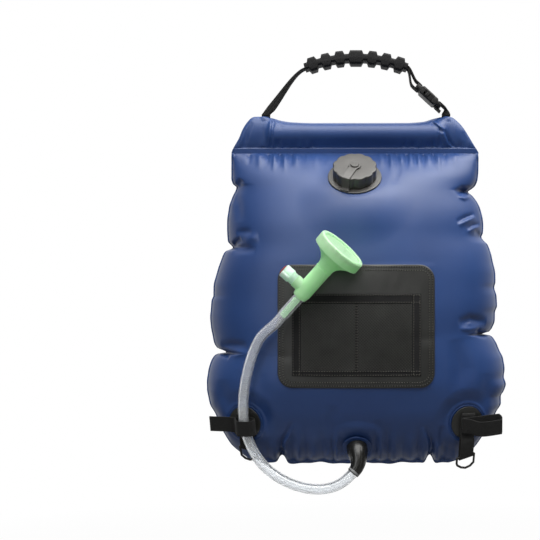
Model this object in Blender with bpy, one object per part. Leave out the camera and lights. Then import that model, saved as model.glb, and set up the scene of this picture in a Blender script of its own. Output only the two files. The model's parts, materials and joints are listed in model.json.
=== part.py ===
"""Camp shower bag, filled and hanging by its carry handle.

Metres, +Z up, the front of the bag faces -Y. The origin is on the underside of the
grip's centre rib, where the bag hangs on a hook or a branch.
"""
import math

import bpy
from mathutils import Matrix, Vector

# Fits shared by all pieces
TOUCH_GAP = 0.0003
LAYER_GAP = 0.0005
CUT_OVERRUN = 0.004
ROUND_STEPS = 24
SMALL_STEPS = 12
ROSE_STEPS = 28

# Water chamber, two film sheets welded round the rim
CHAMBER_TOP = 0.105
CHAMBER_HEIGHT = 0.372
CHAMBER_WIDTH = 0.360
CHAMBER_DEPTH_FRONT = 0.080
CHAMBER_DEPTH_BACK = 0.074
SIDE_ROUND_POWER = 2.2
FILM_THICKNESS = 0.0010
RIM_WIDTH = 0.0025
CHAMBER_ROWS = 28
CHAMBER_COLUMNS = 18
# Share of the height, share of the half width
WIDTH_SHARES = (
    (0.0, 0.815), (0.07, 0.828), (0.2, 0.852), (0.34, 0.905), (0.42, 0.94), (0.5, 0.955),
    (0.6, 0.965), (0.69, 0.985), (0.75, 1.0), (0.8, 0.97), (0.86, 0.9), (0.91, 0.835),
    (0.95, 0.76), (0.985, 0.66), (1.0, 0.61),
)
# Share of the height, share of the depth
DEPTH_SHARES = (
    (0.0, 0.0), (0.03, 0.23), (0.09, 0.53), (0.16, 0.72), (0.25, 0.86), (0.4, 0.97), (0.55, 1.0),
    (0.72, 0.985), (0.82, 0.88), (0.9, 0.7), (0.95, 0.5), (0.98, 0.28), (1.0, 0.0),
)
# Pinches of the welded side, as shares of the height
PINCH_DEPTH = 0.0085
PINCH_SPREAD = 0.0065
PINCHES_LEFT_SHARES = (0.112, 0.302, 0.647)
PINCHES_RIGHT_SHARES = (0.128, 0.272, 0.591)
# Pinches of the bottom weld
HEM_PINCH_X = 0.088
HEM_PINCH_DEPTH = 0.0125
HEM_PINCH_SPREAD = 0.0045
HEM_PINCH_POWER = 24

# Flat places on the front film, where stiff pieces are welded on
FILLER_X = -0.0015
FILLER_DROP = 0.034
FILLER_TILT_DEG = 48
PATCH_X_SHARE = 0.71667
PATCH_RISE = 0.053
PATCH_TILT_DEG = -12
PATCH_TURN_DEG = 18
OUTLET_X = 0.001
OUTLET_RISE = 0.027
OUTLET_TILT_DEG = -42
SEAT_SINK = 0.0012
SEAT_FADE = 0.016

# Top sleeve, with the tube that carries the bag
TUBE_RADIUS = 0.0110
TUBE_WALL = 0.0013
TUBE_LENGTH = 0.196
TUBE_DROP = 0.0816
SLEEVE_FIT = 0.0004
SLEEVE_EAR_TOP = 0.0613
SLEEVE_EDGE_X = 0.1485
SLEEVE_MIDDLE_SHARE = 0.38
SLEEVE_SEAM_HEIGHT = 0.0004
SLEEVE_EAR_RISE = 0.022
# Share of the half width at the seam, share of the height from the seam to the ear's top
SLEEVE_SIDE_SHARES = ((1.0, 0.06), (0.955, 0.42), (0.9, 0.71), (0.85, 0.9), (0.805, 1.0))
SLEEVE_ARC_DEG = (0, 16, 38, 64, 92, 122, 150)

# Webbing: flat in the grip, gathered where it enters the sleeve
WEBBING_WIDTH = 0.018
WEBBING_THICKNESS = 0.0018
GATHER_WIDTH = 0.0104
GATHER_DEPTH = 0.0044
CORE_WIDTH = 0.0078
EXIT_X = 0.108
SWING_DROP = 0.0591
GRIP_RUN_SHARE = 0.22
EXIT_RUN_SHARE = 0.35
EXIT_LEAN_DEG = 43
GATHER_SQUEEZE_SHARE = 0.15
ANCHOR_GATHER_SHARE = 0.55
ROUND_END_SHARES = (0.72, 1.0)
ROUND_END_BLUNT_SHARE = 0.06
CORE_FALL_SHARE = 0.55
RUN_STEPS = 12

# Ribbed grip
GRIP_CHORD = 0.1226
GRIP_SAG = 0.0116
GRIP_WIDTH = 0.026
GRIP_BAND = 0.0080
RIB_HEIGHT = 0.0164
RIB_PITCH = 0.0166
RIB_LENGTH = 0.0118
CENTRE_RIB_EXTRA = 0.0056
RIB_SLOPE = 0.0019
RIBS_EACH_SIDE = 3
GRIP_CHAMFER = 0.0022
WEBBING_FIT = 0.0003

# Side-release buckle, axis sloping down to the right
BUCKLE_X = 0.0866
BUCKLE_DROP = 0.0378
BUCKLE_SLOPE_DEG = 42.8
BUCKLE_WIDTH = 0.028
BUCKLE_THICKNESS = 0.0100
BUCKLE_HALF_LENGTH = 0.0190
BUCKLE_SPLIT = 0.0060
BUCKLE_CHAMFER = 0.0016
BUCKLE_CAVITY_WIDTH = 0.0226
BUCKLE_CAVITY_HEIGHT = 0.0062
BUCKLE_CAVITY_END = 0.0085
WINDOW_TOP = 0.0069
WINDOW_BOTTOM = 0.0010
BAR_DEPTH = 0.0038
BAR_HEIGHT = 0.0050
SLOT_LENGTH = 0.0028
TONGUE_WIDTH = 0.0050
TONGUE_REACH = 0.0050
PRONG_PIVOT_X = 0.0085
PRONG_PIVOT_BACK = 0.0015
PRONG_ARM = 0.0030
PRONG_HEAD_TOP = 0.0056
PRONG_HEAD_OUT = 0.0138
PRONG_HEAD_IN = 0.0070
PRONG_FIT = 0.0003
PRONG_ROUND_SHARE = 0.7
PRONG_SLOPE_SHARES = (1.6, 1.2)

# Filler neck and screw cap
FLANGE_RADIUS = 0.0315
FLANGE_THICKNESS = 0.0016
NECK_RADIUS = 0.0210
NECK_BORE_RADIUS = 0.0175
NECK_HEIGHT = 0.0105
WELL_DEPTH = 0.035
CAP_RADIUS = 0.0258
CAP_SCALLOP_DEPTH = 0.0011
CAP_SCALLOPS = 12
CAP_HEIGHT = 0.0142
CAP_LIFT = 0.0006
CAP_INNER_RADIUS = 0.0221
CAP_TOP_WALL = 0.0022
CAP_EDGE = 0.0009
GASKET_RADIUS = 0.0206
GASKET_THICKNESS = 0.0014
PIN_RADIUS = 0.0026
PIN_HEAD_RADIUS = 0.0052
PIN_HEAD_HEIGHT = 0.0012
TETHER_WIDTH = 0.0098
TETHER_THICKNESS = 0.0013
TETHER_RING_RADIUS = 0.0072
TETHER_TURN_DEG = -113
TETHER_FOOT = 0.0030
TETHER_BEND_SHARE = 0.3

# Outlet spout at the bottom
OUTLET_FLANGE_RADIUS = 0.0165
OUTLET_FLANGE_THICKNESS = 0.0012
SPOUT_BASE_RADIUS = 0.0120
SPOUT_TIP_RADIUS = 0.0069
SPOUT_BORE_RADIUS = 0.0040
SPOUT_ROOT = 0.0070
SPOUT_STEPS = 7
SPOUT_RUN_SHARE = 0.45
SPOUT_TAPER_POWER = 0.9

# Hose
HOSE_RADIUS = 0.0060
HOSE_POINTS = 26
# Route of the hose, chosen by hand: share of the patch's distance from the middle, share of the
# chamber's depth, and share of the patch's rise over the chamber's bottom
HOSE_LOW_SHARES = (
    (-0.0318, 0.8438, -0.0585), (-0.1178, 0.8575, -0.2434), (-0.2217, 0.8600, -0.3604),
    (-0.3287, 0.8500, -0.3962), (-0.4612, 0.8287, -0.3698), (-0.5930, 0.8000, -0.2736),
    (-0.7217, 0.7662, -0.1132), (-0.8248, 0.7313, 0.0849), (-0.8953, 0.7025, 0.2925),
    (-0.9395, 0.6837, 0.4906), (-0.9783, 0.6750, 0.7189), (-1.0008, 0.6887, 0.9415),
    (-1.0093, 0.7238, 1.2000),
)
# The same up to the shower head, with shares of the way up from the last place above
HOSE_HIGH_SHARES = (
    (-1.0070, 0.7650, 0.1514), (-0.9829, 0.8300, 0.3516), (-0.9287, 0.8900, 0.5779),
    (-0.8605, 0.9688, 0.7520), (-0.7829, 1.0400, 0.8494), (-0.7078, 1.0913, 0.9199),
    (-0.6434, 1.1250, 1.0000),
)

# Shower head: its own axis runs from the hose end to the rose
HEAD_BASE_X_SHARE = -0.64341
HEAD_BASE_OUT_SHARE = 1.125
HEAD_BASE_DOWN_SHARE = 0.52016
HEAD_LEAN_DEG = 42
HEAD_TOWARD_VIEWER_DEG = 12.5
BARB_LENGTH = 0.0290
BARB_RADIUS = 0.0041
BARB_RIDGE = 0.0004
BARB_RIDGES = 3
BARB_RIDGE_SHARES = (0.55, 0.65)
HOSE_END_RADIUS = 0.0066
HOSE_END_FIT = 0.0003
TEE_FOOT_RADIUS = 0.0083
TEE_RADIUS = 0.0097
TEE_FOOT_LENGTH = 0.0060
TEE_LENGTH = 0.0435
TEE_WALL = 0.0024
NECK_BEAD_RADIUS = 0.0102
NECK_BEAD_LENGTH = 0.0024
VALVE_HEIGHT = 0.0405
VALVE_BOSS_RADIUS = 0.0075
VALVE_BOSS_REACH = 0.0158
VALVE_BORE_RADIUS = 0.0052
VALVE_PLUG_RADIUS = 0.0049
VALVE_PORT_RADIUS = 0.0030
VALVE_WATER_RADIUS = 0.0030
VALVE_RING_RADIUS = 0.0006
VALVE_GUIDE_TURN_DEG = 5
KNOB_RADIUS = 0.0079
KNOB_LENGTH = 0.0172
KNOB_STEP = 0.0050
KNOB_STEP_RADIUS = 0.0069
KNOB_WING_REACH = 0.0125
KNOB_WING_THICKNESS = 0.0018
KNOB_WING_LENGTH = 0.0095
MARKER_RADIUS = 0.0062
MARKER_THICKNESS = 0.0010
ROSE_CONE_LENGTH = 0.0190
ROSE_CONE_RADIUS = 0.0272
ROSE_FLARE_POWER = 2.3
ROSE_WALL = 0.0018
ROSE_RING_RADIUS = 0.0293
ROSE_RING_HEIGHT = 0.0130
ROSE_RING_RIBS = 26
ROSE_RIB_DEPTH = 0.0005
ROSE_LIP = 0.0024
ROSE_PLATE_THICKNESS = 0.0016
ROSE_PLATE_RECESS = 0.0018
ROSE_SEAL_WIDTH = 0.0022
ROSE_SEAL_THICKNESS = 0.0012
ROSE_HOLE_RADIUS = 0.0007
ROSE_HOLE_PITCH = 0.0062
ROSE_HOLE_RINGS = 3

# Panel with the net pockets
PANEL_X = 0.0002
PANEL_DOWN_SHARE = 0.55376
PANEL_WIDTH = 0.180
PANEL_HEIGHT = 0.141
PANEL_CORNER = 0.017
PANEL_THICKNESS = 0.0012
PANEL_LIFT = 0.0008
NET_X = 0.0006
NET_BELOW = 0.0098
NET_WIDTH = 0.147
NET_HEIGHT = 0.094
NET_THICKNESS = 0.0008
BINDING_TOP_WIDTH = 0.0118
BINDING_SIDE_WIDTH = 0.0104
BINDING_BOTTOM_WIDTH = 0.0070
DIVIDER_WIDTH = 0.0030
BINDING_THICKNESS = 0.0010

# Corner patches, straps and D-rings
PATCH_RADIUS = 0.0195
PATCH_THICKNESS = 0.0012
STRAP_WIDTH = 0.018
STRAP_THICKNESS = 0.0014
DRING_STRAP_WIDTH = 0.0162
DRING_STRAP_REACH_LEFT = 0.0290
DRING_STRAP_REACH_RIGHT = 0.0390
DRING_STRAP_RISE = 0.0115
DRING_STRAP_SLOPE = 0.0110
DRING_TURN_LEFT_DEG = 7
DRING_SKEW_SHARE = 0.3
DRING_STRAP_TOP = 0.0120
DRING_WIRE_RADIUS = 0.0014
DRING_WIDTH = 0.0212
DRING_FIT = 0.0005
DRING_HEIGHT = 0.0150
DRING_CORNER_SHARE = 0.7
# Share of the half width, share of the drop, from the outer side round the bottom
DRING_BOTTOM_SHARES = ((1.0, 0.55), (0.62, 0.84), (0.1, 1.0), (-0.45, 0.95), (-0.9, 0.78), (-1.0, 0.62))
WRAP_LEFT_REACH = 0.0425
WRAP_TAIL_REACH = 0.0155
WRAP_HOSE_X = 0.0062
WRAP_SLACK = 0.0034
WRAP_LIFT = 0.0009
WRAP_CENTRE_DROP = 0.0010
LOOP_LEFT = 0.0080
LOOP_REACH = 0.0403
LOOP_OPENING = 0.0058
LOOP_SLOPE_SHARE = 0.34
LOOP_SAG = 0.0050
LOOP_TURN_DEG = 5


# Scene and materials

def clear_scene():
    for item in list(bpy.data.objects):
        bpy.data.objects.remove(item, do_unlink=True)


def make_material(name, color, roughness, metallic=0.0, alpha=1.0):
    material = bpy.data.materials.new(name)
    material.use_nodes = True
    surface = material.node_tree.nodes["Principled BSDF"]
    surface.inputs["Base Color"].default_value = (*color, 1.0)
    surface.inputs["Roughness"].default_value = roughness
    surface.inputs["Metallic"].default_value = metallic
    surface.inputs["Alpha"].default_value = alpha
    material.diffuse_color = (*color, alpha)
    return material


clear_scene()
NAVY_FILM = make_material("navy_film", (0.045, 0.095, 0.28), 0.32)
BLACK_VINYL = make_material("black_vinyl", (0.03, 0.03, 0.03), 0.4)
BLACK_NET = make_material("black_net", (0.02, 0.02, 0.02), 0.9)
BLACK_WEBBING = make_material("black_webbing", (0.018, 0.018, 0.018), 0.85)
BLACK_PLASTIC = make_material("black_plastic", (0.02, 0.02, 0.022), 0.35)
BLACK_RUBBER = make_material("black_rubber", (0.025, 0.025, 0.025), 0.6)
TUBE_PLASTIC = make_material("tube_plastic", (0.6, 0.6, 0.58), 0.4)
MINT_PLASTIC = make_material("mint_plastic", (0.3, 0.82, 0.3), 0.35)
PALE_MINT_PLASTIC = make_material("pale_mint_plastic", (0.52, 0.86, 0.62), 0.35)
RED_PLASTIC = make_material("red_plastic", (0.2, 0.008, 0.006), 0.4)
CLEAR_HOSE = make_material("clear_hose", (0.9, 0.93, 0.93), 0.08, alpha=0.35)


# Points, frames and curves

def frame_at(origin, right, up, out):
    frame = Matrix((right, up, out)).transposed().to_4x4()
    frame.translation = origin
    return frame


def read_table(table, share):
    """Value of a table of (share, value) pairs, by a smooth curve that doesn't overshoot."""
    last = len(table) - 1
    index = 0
    while index < last - 1 and share > table[index + 1][0]:
        index += 1
    slopes = []
    for at in (index, index + 1):
        before = table[max(at - 1, 0)]
        here = table[at]
        after = table[min(at + 1, last)]
        rise_in = (here[1] - before[1]) / max(here[0] - before[0], 1e-9) if at > 0 else None
        rise_out = (after[1] - here[1]) / max(after[0] - here[0], 1e-9) if at < last else None
        if rise_in is None or rise_out is None:
            slopes.append(rise_out if rise_in is None else rise_in)
        elif rise_in * rise_out <= 0:
            slopes.append(0.0)
        else:
            slopes.append(2 * rise_in * rise_out / (rise_in + rise_out))
    start, end = table[index], table[index + 1]
    span = end[0] - start[0]
    t = min(max((share - start[0]) / span, 0.0), 1.0)
    return (
        start[1] * (2 * t**3 - 3 * t**2 + 1) + slopes[0] * span * (t**3 - 2 * t**2 + t)
        + end[1] * (3 * t**2 - 2 * t**3) + slopes[1] * span * (t**3 - t**2)
    )


def smooth_step(t):
    t = min(max(t, 0.0), 1.0)
    return t * t * (3 - 2 * t)


def bezier(start, start_handle, end_handle, end, steps):
    """Points of a cubic curve, both ends included."""
    points = []
    for i in range(steps + 1):
        t = i / steps
        points.append(
            start * (1 - t) ** 3 + start_handle * (3 * t * (1 - t) ** 2)
            + end_handle * (3 * t * t * (1 - t)) + end * t**3
        )
    return points


def through_points(route, count):
    """Evenly spaced points on one smooth curve through a route."""
    knots = [Vector(p) for p in route]
    dense = []
    for i in range(len(knots) - 1):
        before = knots[max(i - 1, 0)]
        after = knots[min(i + 2, len(knots) - 1)]
        a, b = knots[i], knots[i + 1]
        for k in range(16):
            t = k / 16
            dense.append(
                0.5 * (2 * a + (b - before) * t + (2 * before - 5 * a + 4 * b - after) * t * t
                       + (3 * a - before - 3 * b + after) * t**3)
            )
    dense.append(knots[-1])
    lengths = [0.0]
    for a, b in zip(dense, dense[1:]):
        lengths.append(lengths[-1] + (b - a).length)
    points = []
    at = 0
    for i in range(count):
        want = lengths[-1] * i / (count - 1)
        while at < len(dense) - 2 and lengths[at + 1] < want:
            at += 1
        part = (want - lengths[at]) / (lengths[at + 1] - lengths[at])
        points.append(dense[at].lerp(dense[at + 1], min(max(part, 0.0), 1.0)))
    return points


# Meshes

def mesh_piece(name, points, faces, material, origin=(0, 0, 0), sharp_deg=35):
    """One object from world points, with its own origin at the place given."""
    shift = Vector(origin)
    mesh = bpy.data.meshes.new(name)
    mesh.from_pydata([Vector(p) - shift for p in points], [], faces)
    mesh.materials.append(material)
    mesh.shade_smooth()
    mesh.set_sharp_from_angle(angle=math.radians(sharp_deg))
    piece = bpy.data.objects.new(name, mesh)
    piece.location = shift
    bpy.context.scene.collection.objects.link(piece)
    return piece


def loft(rings, closed=False):
    """Points and faces of a skin over rings that turn anticlockwise seen from the far end."""
    count = len(rings[0])
    points = [p for ring in rings for p in ring]
    faces = []
    spans = len(rings) if closed else len(rings) - 1
    for i in range(spans):
        a = i * count
        b = (i + 1) % len(rings) * count
        for k in range(count):
            n = (k + 1) % count
            faces.append((a + k, a + n, b + n, b + k))
    if not closed:
        faces.append(tuple(reversed(range(count))))
        faces.append(tuple(range(len(points) - count, len(points))))
    return points, faces


def lofted(name, rings, material, origin=(0, 0, 0), closed=False):
    points, faces = loft(rings, closed)
    return mesh_piece(name, points, faces, material, origin)


def turned(name, frame, profile, material, steps=ROUND_STEPS, origin=None, swell=None):
    """A profile of (radius, height) turned about the frame's own Z. A profile that starts and
    ends on the axis makes a solid, and any other a ring, its outline running anticlockwise."""
    solid = profile[0][0] == 0 and profile[-1][0] == 0
    rows = profile[1:-1] if solid else profile
    rings = []
    for radius, height in rows:
        ring = []
        for k in range(steps):
            angle = 2 * math.pi * k / steps
            reach = radius if swell is None else swell(radius, height, angle)
            ring.append(frame @ Vector((reach * math.cos(angle), reach * math.sin(angle), height)))
        rings.append(ring)
    if not solid:
        points, faces = loft(rings, closed=True)
    else:
        points, faces = loft(rings)
        faces = faces[:-2]
        low, high = len(points), len(points) + 1
        points += [frame @ Vector((0, 0, profile[0][1])), frame @ Vector((0, 0, profile[-1][1]))]
        top = (len(rings) - 1) * steps
        for k in range(steps):
            n = (k + 1) % steps
            faces.append((low, n, k))
            faces.append((high, top + k, top + n))
    place = frame.translation if origin is None else origin
    return mesh_piece(name, points, faces, material, place)


def grid_piece(name, front, back, material, origin=(0, 0, 0)):
    """A closed solid between two grids of points with equal rows and columns."""
    rows, columns = len(front), len(front[0])
    points = [p for row in front for p in row] + [p for row in back for p in row]
    half = rows * columns
    faces = []
    for r in range(rows - 1):
        for c in range(columns - 1):
            a, b = r * columns + c, r * columns + c + 1
            d, e = a + columns, b + columns
            faces.append((a, d, e, b))
            faces.append((half + a, half + b, half + e, half + d))
    for c in range(columns - 1):
        low = (rows - 1) * columns
        faces.append((c, c + 1, half + c + 1, half + c))
        faces.append((low + c + 1, low + c, half + low + c, half + low + c + 1))
    for r in range(rows - 1):
        left, right = r * columns, r * columns + columns - 1
        faces.append((left + columns, left, half + left, half + left + columns))
        faces.append((right, right + columns, half + right + columns, half + right))
    return mesh_piece(name, points, faces, material, origin)


def domed_piece(name, skin, flat, side, material):
    """A closed solid between a grid of points and the outline of a flat one behind it."""
    rows, columns = len(skin), len(skin[0])
    points = [p for row in skin for p in row]
    faces = []
    for r in range(rows - 1):
        for c in range(columns - 1):
            a = r * columns + c
            faces.append((a, a + columns, a + columns + 1, a + 1))
    outline = [(0, c) for c in range(columns)]
    outline += [(r, columns - 1) for r in range(1, rows)]
    outline += [(rows - 1, c) for c in reversed(range(columns - 1))]
    outline += [(r, 0) for r in reversed(range(1, rows - 1))]
    start = len(points)
    points += [flat[r][c] for r, c in outline]
    for k, (r, c) in enumerate(outline):
        n = (k + 1) % len(outline)
        after = outline[n]
        faces.append((r * columns + c, after[0] * columns + after[1], start + n, start + k))
    faces.append(tuple(start + k for k in range(len(outline))))
    if side > 0:
        faces = [tuple(reversed(face)) for face in faces]
    return mesh_piece(name, points, faces, material)


def rectangle(frame, width, height, at):
    """Four corners round the frame's Z at a height."""
    x, y = width / 2, height / 2
    return [frame @ Vector(p) for p in ((x, -y, at), (x, y, at), (-x, y, at), (-x, -y, at))]


def chamfered(frame, width, height, chamfer, at):
    """Eight corners of a chamfered rectangle round the frame's Z at a height."""
    x, y = width / 2, height / 2
    c = min(chamfer, x / 2, y / 2)
    corners = (
        (x, -y + c), (x, y - c), (x - c, y), (-x + c, y),
        (-x, y - c), (-x, -y + c), (-x + c, -y), (x - c, -y),
    )
    return [frame @ Vector((px, py, at)) for px, py in corners]


def cut(piece, cutter):
    """Takes the cutter's shape out of the piece."""
    cutter.hide_render = True
    cutter.display_type = "WIRE"
    step = piece.modifiers.new("cut_" + cutter.name, "BOOLEAN")
    step.operation = "DIFFERENCE"
    step.solver = "EXACT"
    step.object = cutter
    return piece


def add(piece, extra):
    """Joins an extra closed shape to the piece."""
    extra.hide_render = True
    extra.display_type = "WIRE"
    step = piece.modifiers.new("add_" + extra.name, "BOOLEAN")
    step.operation = "UNION"
    step.solver = "EXACT"
    step.object = extra
    return piece


def box_guide(name, frame, width, height, low, high):
    return lofted(name, [rectangle(frame, width, height, z) for z in (low, high)], BLACK_PLASTIC)


def tube_guide(name, frame, radius, low, high, steps=ROUND_STEPS):
    profile = ((0, low), (radius, low), (radius, high), (0, high))
    return turned(name, frame, profile, BLACK_PLASTIC, steps)


# The shape of the filled chamber

def side_pinch(share, side):
    places = PINCHES_LEFT_SHARES if side < 0 else PINCHES_RIGHT_SHARES
    spread = PINCH_SPREAD / CHAMBER_HEIGHT
    return PINCH_DEPTH * sum(math.exp(-(((share - p) / spread) ** 2)) for p in places)


def half_width(share, side):
    return CHAMBER_WIDTH / 2 * read_table(WIDTH_SHARES, share) - side_pinch(share, side)


def hem_lift(x, share):
    """The bottom weld is drawn up in two places."""
    bump = math.exp(-(((abs(x) - HEM_PINCH_X) / HEM_PINCH_SPREAD) ** 2))
    return HEM_PINCH_DEPTH * bump * share**HEM_PINCH_POWER


def plain_depth(x, z, deepest):
    """How far the film bulges from the rim's plane, before the flat places."""
    share = (-CHAMBER_TOP - z) / CHAMBER_HEIGHT
    if share <= 0 or share >= 1:
        return 0.0
    across = min(abs(x) / half_width(share, x), 1.0)
    side = math.sqrt(max(1 - across**SIDE_ROUND_POWER, 0.0))
    return deepest * read_table(DEPTH_SHARES, share) * side


class Seat:
    """A flat place on the front film: its frame's Z points out of the bag."""

    def __init__(self, x, z, tilt_deg, turn_deg, radius):
        tilt, turn = math.radians(tilt_deg), math.radians(turn_deg)
        out = Vector((math.sin(turn) * math.cos(tilt), -math.cos(turn) * math.cos(tilt), math.sin(tilt)))
        right = Vector((math.cos(turn), math.sin(turn), 0))
        up = out.cross(right)
        depth = plain_depth(x, z, CHAMBER_DEPTH_FRONT) - SEAT_SINK
        self.radius = radius
        self.out = out
        self.depth = depth
        self.frame = frame_at(Vector((x, -depth, z)), right, up, out)

    def plane_depth(self, x, z):
        centre = self.frame.translation
        return self.depth + ((x - centre.x) * self.out.x + (z - centre.z) * self.out.z) / self.out.y

    def weight(self, x, z):
        centre = self.frame.translation
        across = Vector((x - centre.x, self.depth - self.plane_depth(x, z), z - centre.z)).length
        return 1 - smooth_step((across - self.radius) / SEAT_FADE)


def patch_x():
    """How far the corner patches are from the middle."""
    return CHAMBER_WIDTH / 2 * PATCH_X_SHARE


def down_chamber(share):
    """Height of a place that is a share of the way down the chamber."""
    return -CHAMBER_TOP - CHAMBER_HEIGHT * share


FILLER_SEAT = Seat(FILLER_X, -CHAMBER_TOP - FILLER_DROP, FILLER_TILT_DEG, 0, FLANGE_RADIUS)
LEFT_SEAT = Seat(-patch_x(), -CHAMBER_TOP - CHAMBER_HEIGHT + PATCH_RISE, PATCH_TILT_DEG,
                 -PATCH_TURN_DEG, PATCH_RADIUS)
RIGHT_SEAT = Seat(patch_x(), -CHAMBER_TOP - CHAMBER_HEIGHT + PATCH_RISE, PATCH_TILT_DEG,
                  PATCH_TURN_DEG, PATCH_RADIUS)
OUTLET_SEAT = Seat(OUTLET_X, -CHAMBER_TOP - CHAMBER_HEIGHT + OUTLET_RISE, OUTLET_TILT_DEG, 0,
                   OUTLET_FLANGE_RADIUS)
SEATS = (FILLER_SEAT, LEFT_SEAT, RIGHT_SEAT, OUTLET_SEAT)


def front_depth(x, z):
    depth = plain_depth(x, z, CHAMBER_DEPTH_FRONT)
    for seat in SEATS:
        weight = seat.weight(x, z)
        if weight > 0:
            depth += (seat.plane_depth(x, z) - depth) * weight
    return max(depth, 0.0)


def on_front(x, z, lift):
    """A point at a height above the front film, along the film's own normal."""
    step = RIM_WIDTH / 4
    slope_x = (front_depth(x + step, z) - front_depth(x - step, z)) / (2 * step)
    slope_z = (front_depth(x, z + step) - front_depth(x, z - step)) / (2 * step)
    normal = Vector((-slope_x, -1, -slope_z)).normalized()
    return Vector((x, -front_depth(x, z) - FILM_THICKNESS, z)) + normal * lift


def chamber_sheet(name, side):
    """One welded half of the filled chamber: side is -1 at the front and 1 at the back."""
    split = TOUCH_GAP / 2
    skin, flat = [], []
    columns = [-1 + 2 * c / CHAMBER_COLUMNS for c in range(CHAMBER_COLUMNS + 1)]
    spacing = [math.sin(math.pi / 2 * c) for c in columns]
    stations = [(-1, RIM_WIDTH)] + [(u, 0) for u in spacing] + [(1, RIM_WIDTH)]
    for r in range(CHAMBER_ROWS + 1):
        share = (1 - math.cos(math.pi * r / CHAMBER_ROWS)) / 2
        share = (share + r / CHAMBER_ROWS) / 2
        skin_row, flat_row = [], []
        for across, rim in stations:
            x = across * half_width(share, across) + math.copysign(rim, across)
            z = -CHAMBER_TOP - TOUCH_GAP - share * (CHAMBER_HEIGHT - TOUCH_GAP)
            z += hem_lift(x, share)
            if side < 0:
                depth = front_depth(x, z) + FILM_THICKNESS
            else:
                depth = plain_depth(x, z, CHAMBER_DEPTH_BACK) + FILM_THICKNESS
            skin_row.append(Vector((x, side * (split + depth), z)))
            flat_row.append(Vector((x, side * split, z)))
        skin.append(skin_row)
        flat.append(flat_row)
    return domed_piece(name, skin, flat, side, NAVY_FILM)


def seat_cut(seat, radius, name):
    """Takes off what film stands above the flat place of a welded piece."""
    return tube_guide(name, seat.frame, radius, FILM_THICKNESS, CUT_OVERRUN * 2)


def build_chamber():
    front = chamber_sheet("bag_front", -1)
    chamber_sheet("bag_back", 1)
    well_top = FILM_THICKNESS + CUT_OVERRUN
    well = tube_guide("filler_well", FILLER_SEAT.frame, NECK_BORE_RADIUS, -WELL_DEPTH, well_top)
    cut(front, well)
    for seat, radius, name in (
        (FILLER_SEAT, FLANGE_RADIUS, "filler_flat"),
        (LEFT_SEAT, PATCH_RADIUS, "left_flat"),
        (RIGHT_SEAT, PATCH_RADIUS, "right_flat"),
        (OUTLET_SEAT, OUTLET_FLANGE_RADIUS, "outlet_flat"),
    ):
        cut(front, seat_cut(seat, radius + TOUCH_GAP, name))
    return front


# Top sleeve and the tube in it

def sleeve_top(x):
    """Height of the sleeve's top edge above the seam, at a place along it."""
    ear = CHAMBER_TOP - SLEEVE_EAR_TOP
    tube_top = CHAMBER_TOP - TUBE_DROP + TUBE_RADIUS + SLEEVE_FIT + FILM_THICKNESS
    side = abs(x) / SLEEVE_EDGE_X
    table = [(-s, h) for s, h in SLEEVE_SIDE_SHARES]
    if side > SLEEVE_SIDE_SHARES[-1][0]:
        return ear * read_table(table, -side)
    rise = smooth_step((abs(x) - TUBE_LENGTH / 2 + SLEEVE_EAR_RISE) / SLEEVE_EAR_RISE)
    return tube_top + (ear - tube_top) * rise


def sleeve_column(x, kind):
    """Inner and outer points (depth, height) of one sleeve wall, from the top to the seam."""
    split = TOUCH_GAP / 2
    floor = -CHAMBER_TOP + SLEEVE_SEAM_HEIGHT
    top = -CHAMBER_TOP + sleeve_top(x)
    inner, outer = [], []
    if kind == "flat":
        count = len(SLEEVE_ARC_DEG) + 2
        for i in range(count):
            z = top + (floor - top) * i / (count - 1)
            inner.append((split, z))
            outer.append((split + FILM_THICKNESS, z))
        return inner, outer
    axis = -TUBE_DROP
    hollow = TUBE_RADIUS + SLEEVE_FIT
    wall = hollow + FILM_THICKNESS
    mouth = GATHER_DEPTH / 2 + SLEEVE_FIT if kind == "mouth" else split
    for i, degrees in enumerate(SLEEVE_ARC_DEG):
        angle = math.radians(degrees)
        depth_in, z_in = hollow * math.sin(angle), axis + hollow * math.cos(angle)
        depth_out, z_out = wall * math.sin(angle), axis + wall * math.cos(angle)
        if i == 0:
            inner.append((mouth, top))
            outer.append((mouth + FILM_THICKNESS, top))
        else:
            inner.append((max(depth_in, mouth), min(z_in, top - FILM_THICKNESS)))
            outer.append((max(depth_out, mouth + FILM_THICKNESS), min(z_out, top - FILM_THICKNESS)))
    inner.append((split, axis - hollow))
    outer.append((wall * math.sin(math.radians(SLEEVE_ARC_DEG[-1])) / 2, axis - wall))
    inner.append((split, floor))
    outer.append((split + FILM_THICKNESS, floor))
    return inner, outer


def sleeve_stations():
    """Places along the sleeve with the kind of section there."""
    reach = EXIT_X + GATHER_WIDTH / 2 + SLEEVE_FIT
    mouth_start = EXIT_X - GATHER_WIDTH / 2 - SLEEVE_FIT
    step = FILM_THICKNESS
    half = [
        (0, "round"), (TUBE_LENGTH * SLEEVE_MIDDLE_SHARE, "round"),
        (mouth_start - step, "round"), (mouth_start, "mouth"), (EXIT_X, "mouth"), (reach, "mouth"),
        (reach + step, "flat"),
    ]
    for share, _ in reversed(SLEEVE_SIDE_SHARES):
        if share * SLEEVE_EDGE_X > reach + 2 * step:
            half.append((share * SLEEVE_EDGE_X, "flat"))
    return [(-x, kind) for x, kind in reversed(half[1:])] + half


def sleeve_sheet(name, side):
    inner_rows, outer_rows = [], []
    for x, kind in sleeve_stations():
        inner, outer = sleeve_column(x, kind)
        inner_rows.append([Vector((x, side * y, z)) for y, z in inner])
        outer_rows.append([Vector((x, side * y, z)) for y, z in outer])
    if side < 0:
        return grid_piece(name, inner_rows, outer_rows, NAVY_FILM)
    return grid_piece(name, outer_rows, inner_rows, NAVY_FILM)


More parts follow.
